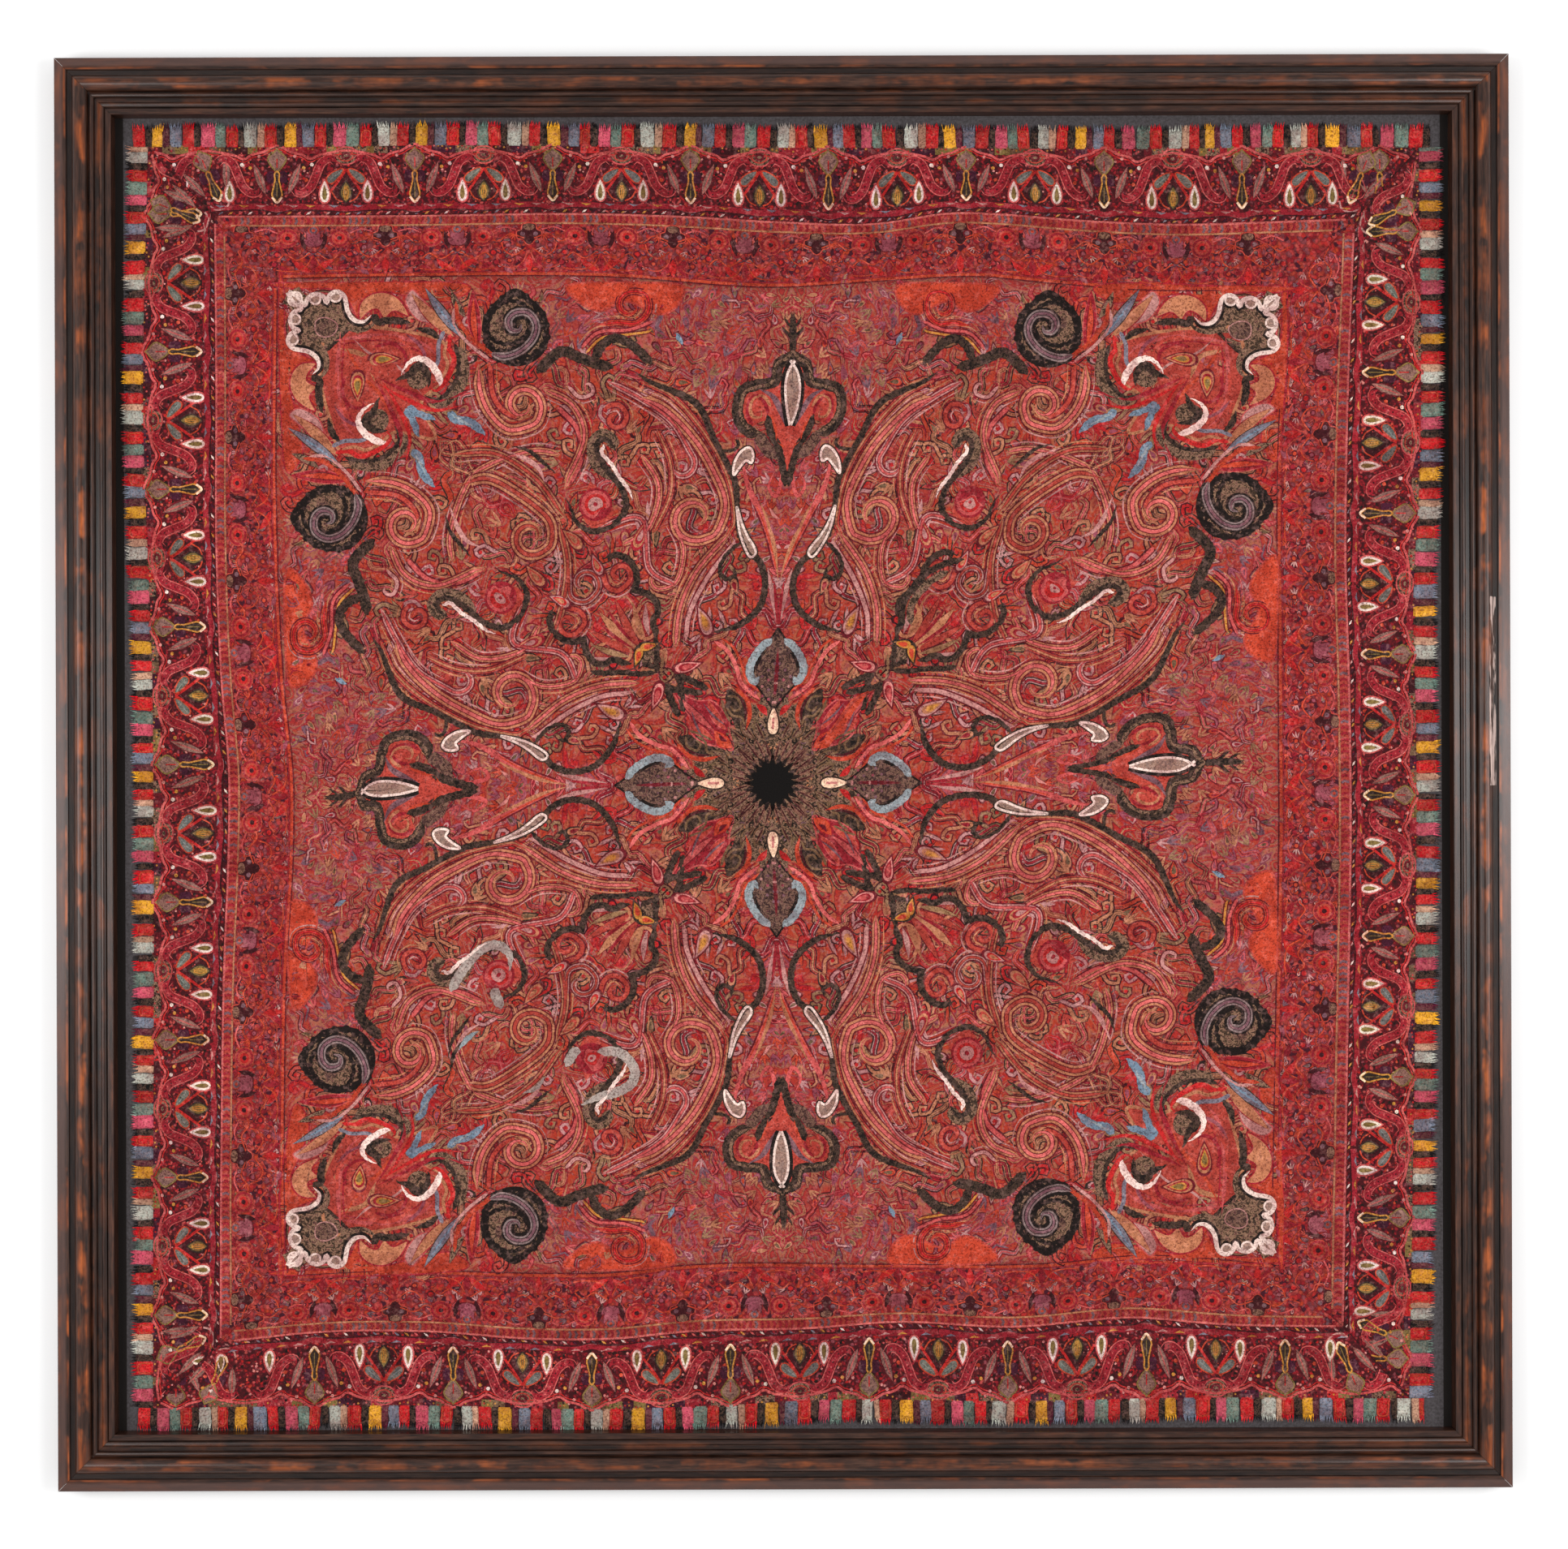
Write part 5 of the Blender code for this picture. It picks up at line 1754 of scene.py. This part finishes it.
def field_plan():
    """Places over the field between the four lines round it."""
    share = np.linspace(0, 1, SHEET_STEPS + 1)
    u, v = np.meshgrid(share, share)
    bottom, top = line_at("field", "bottom", share), line_at("field", "top", share)
    left, right = line_at("field", "left", share), line_at("field", "right", share)
    corner = [np.array(c) * MM for c in CORNERS["field"]]
    u3, v3 = u[..., None], v[..., None]
    along_v = bottom[None] * (1 - v3) + top[None] * v3
    across = along_v + left[:, None] * (1 - u3) + right[:, None] * u3
    low = corner[3] * (1 - u3) + corner[2] * u3
    high = corner[0] * (1 - u3) + corner[1] * u3
    inward = np.stack((0.5 - u, 0.5 - v), axis=-1) * SEAM
    return across - (low * (1 - v3) + high * v3) + inward


def strip_plan(side, inner, outer):
    """Places over a border strip, and its chart: along the side and out from its inner line, in pixels."""
    u, v = np.meshgrid(np.linspace(0, 1, SHEET_STEPS + 1), np.linspace(0, 1, STRIP_STEPS_ACROSS + 1))
    start, end = line_at(inner, side, u), line_at(outer, side, u)
    width = np.linalg.norm(end - start, axis=-1, keepdims=True)
    share = (SEAM / 2 + v[..., None] * (width - SEAM)) / width
    slack = SEAM * math.sqrt(0.5) * (1 - 2 * u)
    plan = start + (end - start) * share + np.stack(on_side(side, slack, 0 * slack), axis=-1)
    along, out = along_and_out(side, plan[..., 0], plan[..., 1])
    deep = (out - line_out(inner, side, along)) / PIXEL
    return plan, np.stack((along / PIXEL, deep), axis=-1)


# Columns: border, inner line, outer line, cell in metres, colours, tint, depth of the dark between cells
BORDERS = (
    ("inner_border", "field", "seam", 0.0050, INNER_STOPS, (0.92, 0.72, 0.62), 0.5),
    ("outer_border", "seam", "hem", 0.0042, OUTER_STOPS, (0.92, 0.72, 0.66), 0.85),
)


def make_sheets():
    sheets = {}
    plan = field_plan()
    chart = even_place(from_world(plan.reshape(-1, 2))) / CHART_UNIT
    field = sheet_mesh("field_cloth", plan, chart, field_material())
    zone = field.data.attributes.new("lobe", "FLOAT", "POINT")
    zone.data.foreach_set("value", lobe_share(chart * CHART_UNIT))
    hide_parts("field")
    sheets["field"] = field
    for ring, inner, outer, cell, stops, shade, depth in BORDERS:
        material = border_material(ring + "_ground", cell, stops, shade, depth)
        for side in SIDES:
            plan, chart = strip_plan(side, inner, outer)
            strip = sheet_mesh(f"{ring}_{side}_cloth", plan, chart / CHART_UNIT, material)
            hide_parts(f"{ring}_{side}")
            sheets[f"{ring}_{side}"] = strip
    return sheets


# Frame, board and stage

# The painted highlight's middle and half size, in metres, across the right-hand length and along it: a
# pale streak painted where a lamp's reflection falls on the roll
LAMP_GLINT = ((0.962, 0.006), (0.108, 0.128))
# How rubbed each step of the moulding is. Columns: share of the width from the outer edge, amount
RUBBED_STEPS = (
    (0.0, 0.25), (0.15, 0.2), (0.185, 1), (0.21, 0), (0.36, 0.1), (0.43, 0.75), (0.53, 0.9), (0.58, 0),
    (0.64, 0.35), (0.68, 0), (0.8, 0.4), (0.88, 0.05), (0.99, 0.2), (1.0, 0),
)
# How much of its own colour each step keeps under the painted shade in its grooves. Columns as above
GROOVE_SHADE_STEPS = (
    (0.0, 0.75), (0.2, 0.9), (0.23, 0.35), (0.3, 0.4), (0.36, 1), (0.56, 1), (0.615, 0.3), (0.66, 1),
    (0.73, 0.35), (0.83, 1), (0.89, 0.35), (0.92, 0.9),
)


def wood_material():
    """Dark stained wood, worn to orange along its edges, with the grain along each length, painted shade
    in its grooves and a painted highlight on the right-hand length.
    """
    nodes = Nodes("worn_dark_wood")
    parts = nodes.add("ShaderNodeSeparateXYZ", {0: nodes.position()})
    x, y = (nodes.math("ABSOLUTE", parts.outputs[i]) for i in (0, 1))
    from_side = nodes.math("SUBTRACT", FRAME_HALF[0], x)
    from_end = nodes.math("SUBTRACT", FRAME_HALF[1], y)
    inward = nodes.math("MINIMUM", from_side, from_end)
    upright = nodes.math("LESS_THAN", from_side, from_end)
    along = nodes.mix(upright, parts.outputs[0], parts.outputs[1])
    grain_place = place_in_wood(nodes, along, 0.09, inward, parts.outputs[2])
    grain = nodes.noise(grain_place, 260.0, 5.0, 0.65)
    streak = nodes.noise(grain_place, 90.0, 4.0, 0.6)
    patchy = nodes.noise(place_in_wood(nodes, along, 0.6, inward, upright), 26.0, 3.0, 0.6)
    shares = nodes.math("DIVIDE", inward, MOULDING_WIDTH)
    stained = nodes.ramp(grain, ((0.3, rgb(24, 14, 10)), (0.5, rgb(54, 32, 24)), (0.72, rgb(84, 54, 40))))
    stained = nodes.mix(nodes.fade(shares, (0.12, 0.6), (0.17, 0)), stained, rgb(102, 76, 70))
    worn = nodes.ramp(streak, ((0.3, rgb(120, 54, 22)), (0.62, rgb(196, 98, 40))))

    # The upright lengths get more of the orange wear than the top and bottom: wear, and on top of it
    # painted sheen that makes them lighter where the side lamps shine on them
    amount = nodes.math("ADD", 0.55, nodes.math("MULTIPLY", upright, 0.35))
    rub = nodes.math("MULTIPLY", nodes.fade(shares, *RUBBED_STEPS), amount)
    rub = nodes.math("MULTIPLY", rub, nodes.fade(patchy, (0.46, 0), (0.60, 1)))
    rub = nodes.math("MULTIPLY", rub, nodes.fade(streak, (0.35, 0.2), (0.6, 1)), True)
    # Painted shade darkens the moulding's grooves, then the orange wear goes over it
    colour = nodes.mix(rub, nodes.tint(stained, nodes.fade(shares, *GROOVE_SHADE_STEPS)), worn)
    # Painted highlight: a pale streak on the right-hand length's roll, where a lamp is reflected
    colour = nodes.mix(painted_glint_share(nodes, parts, grain_place), colour, rgb(214, 186, 176))
    roughness = nodes.math("ADD", 0.2, nodes.math("MULTIPLY", grain, 0.3))
    nodes.shader.inputs["Coat Weight"].default_value = 0.3
    nodes.shader.inputs["Coat Roughness"].default_value = 0.22
    nodes.shader.inputs["Specular IOR Level"].default_value = 0.2
    return nodes.finish(colour, roughness, grain, 0.25, 0.0008)


def place_in_wood(nodes, along, squeeze, inward, third):
    """A place for a noise whose marks are long in the direction of each length."""
    squeezed = nodes.math("MULTIPLY", along, squeeze)
    return nodes.add("ShaderNodeCombineXYZ", {0: squeezed, 1: inward, 2: third}).outputs[0]


def painted_glint_share(nodes, parts, grain_place):
    """Above 0 in the long pale streak on the right-hand length: a painted highlight, where a lamp's
    reflection falls on the roll.
    """
    near = []
    for axis, (middle, half) in enumerate(LAMP_GLINT):
        apart = nodes.math("ABSOLUTE", nodes.math("SUBTRACT", parts.outputs[axis], middle))
        near.append(nodes.math("LESS_THAN", apart, half))
    glint_flecks = nodes.fade(nodes.noise(grain_place, 210.0, 4.0, 0.6), (0.47, 0), (0.56, 0.8))
    return nodes.math("MULTIPLY", nodes.math("MULTIPLY", *near), glint_flecks)


# Beyond this distance from the middle, in metres, the board is painted dark on the left and right: painted
# shadow of the frame's side lengths under the side lamps
SIDE_SHADOW_FROM = 0.8990


def felt_material():
    nodes = Nodes("backing_cloth")
    position = nodes.position()
    fuzz = nodes.noise(position, 300.0, 4.0, 0.7)
    cloud = nodes.noise(position, 14.0, 3.0)
    colour = nodes.ramp(fuzz, ((0.3, rgb(50, 45, 45)), (0.7, rgb(88, 83, 86))))
    colour = nodes.mix(nodes.math("MULTIPLY", cloud, 0.4), colour, rgb(60, 54, 54))
    across = nodes.math("ABSOLUTE", nodes.add("ShaderNodeSeparateXYZ", {0: position}).outputs[0])
    # Painted shadow: the board goes almost black near the frame's left and right lengths, where the side
    # lamps' shadow falls
    colour = nodes.mix(nodes.math("GREATER_THAN", across, SIDE_SHADOW_FROM), colour, rgb(20, 13, 10))
    return nodes.finish(colour, 0.95, fuzz, 0.5, 0.0008, 0.3)


def star_material():
    nodes = Nodes("black_wool")
    position = nodes.position()
    fuzz = nodes.noise(position, 700.0, 3.0, 0.6)
    colour = nodes.ramp(fuzz, ((0.3, rgb(9, 7, 7)), (0.75, rgb(22, 17, 15))))
    return nodes.finish(colour, 0.9, weave_height(nodes, position), 0.4, 0.0004, 0.02)


def dress_cad():
    wood, felt, star = wood_material(), felt_material(), star_material()
    for side in SIDES:
        dress_node(f"frame_{side}", wood)
    dress_node("backing_board", felt)
    dress_node("centre_star", star)


def dress_node(name, material):
    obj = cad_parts[name]
    for slot in obj.material_slots:
        slot.material = material
    if not obj.material_slots:
        obj.data.materials.append(material)


def make_stage():
    mesh = bpy.data.meshes.new("floor")
    bm = bmesh.new()
    bmesh.ops.create_grid(bm, x_segments=1, y_segments=1, size=FLOOR_HALF)
    bm.to_mesh(mesh)
    bm.free()
    floor = bpy.data.objects.new("floor", mesh)
    floor.location.z = FLOOR_HEIGHT
    nodes = Nodes("pale_floor")
    nodes.shader.inputs["Base Color"].default_value = (0.97, 0.97, 0.97, 1.0)
    nodes.shader.inputs["Roughness"].default_value = 1.0
    mesh.materials.append(nodes.material)
    bpy.context.scene.collection.objects.link(floor)


# Columns: name, place, aim, size, power
LIGHTS = (
    ("left_softbox", (-2.6, 0.0, 2.6), (-0.2, 0, 0), (1.4, 2.2), 57),
    ("right_softbox", (2.6, 0.0, 2.6), (0.2, 0, 0), (1.4, 2.2), 57),
    ("right_strip", (1.9, 0.1, 2.8), (0.9, 0.1, 0), (0.3, 0.7), 6),
)
WORLD_STRENGTH = 0.62


def add_light(name, place, aim, size, power):
    lamp = bpy.data.lights.new(name, "AREA")
    lamp.shape = "RECTANGLE"
    lamp.size, lamp.size_y = size
    lamp.energy = power
    obj = bpy.data.objects.new(name, lamp)
    obj.location = place
    way = Vector(aim) - Vector(place)
    obj.rotation_euler = way.to_track_quat("-Z", "Y").to_euler()
    bpy.context.scene.collection.objects.link(obj)


def make_camera():
    data = bpy.data.cameras.new("camera")
    data.sensor_fit = "HORIZONTAL"
    data.sensor_width = SENSOR_WIDTH
    data.lens = SENSOR_WIDTH * CAMERA_DISTANCE / PIXEL / PHOTO_SIZE[0]
    camera = bpy.data.objects.new("camera", data)
    aim_x = (PHOTO_SIZE[0] / 2 - PHOTO_MIDDLE[0]) * PIXEL
    aim_y = (PHOTO_MIDDLE[1] - PHOTO_SIZE[1] / 2) * PIXEL
    camera.location = (aim_x, aim_y, BOARD_TOP + CAMERA_DISTANCE)
    camera.rotation_euler = (0.0, 0.0, -PHOTO_ROLL)
    bpy.context.scene.collection.objects.link(camera)
    bpy.context.scene.camera = camera


def make_lights():
    scene = bpy.context.scene
    scene.view_settings.view_transform = "Standard"
    world = bpy.data.worlds.new("studio")
    world.use_nodes = True
    background = world.node_tree.nodes["Background"]
    background.inputs["Color"].default_value = (1.0, 1.0, 1.0, 1.0)
    background.inputs["Strength"].default_value = WORLD_STRENGTH
    scene.world = world
    for light in LIGHTS:
        add_light(*light)


QUARTERS = {"north_west": (1, 1), "north_east": (-1, 1), "south_west": (1, -1), "south_east": (-1, -1)}


def embroider(sheets):
    """All the raised motifs. Each piece lies on one sheet: the field, or one strip of a border."""
    material = embroidery_material()
    octant = join(((filler(), 0.0), (halo(), 0.0), (middle_star(), 0.0), (field_octant(), 0.0)))
    quarter = on_diagonal()
    swap = np.array(((0, -1), (-1, 0)))
    made = {name: [] for name in sheets}
    for name, (across, up) in QUARTERS.items():
        turn = np.diag((across, up))
        piece = build_piece(f"field_motifs_{name}", octant, field_place, material, (turn, turn @ swap))
        made["field"].append(piece)
        piece = build_piece(f"diagonal_motifs_{name}", quarter, field_place, material, (turn,))
        made["field"].append(piece)
    made["field"].append(build_piece("field_single_motifs", single_marks(), field_place, material))
    for side in SIDES:
        for ring, work in border_works(side):
            piece = build_piece(f"{ring}_motifs_{side}", work, border_place(side, ring), material)
            made[f"{ring}_border_{side}"].append(piece)
    return made


def field_place(spots):
    return to_world(spots + pull(spots))


def make_fringe():
    material = embroidery_material()
    for side in SIDES:
        piece = build_piece(f"fringe_{side}_tabs", fringe_work(side), fringe_place(side), material)
        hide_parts(f"fringe_{side}")


def main():
    make_camera()
    make_lights()
    make_stage()
    dress_cad()
    sheets = make_sheets()
    made = embroider(sheets)
    make_fringe()
    for name, sheet in sheets.items():
        low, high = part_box(name)
        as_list(made[name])


main()
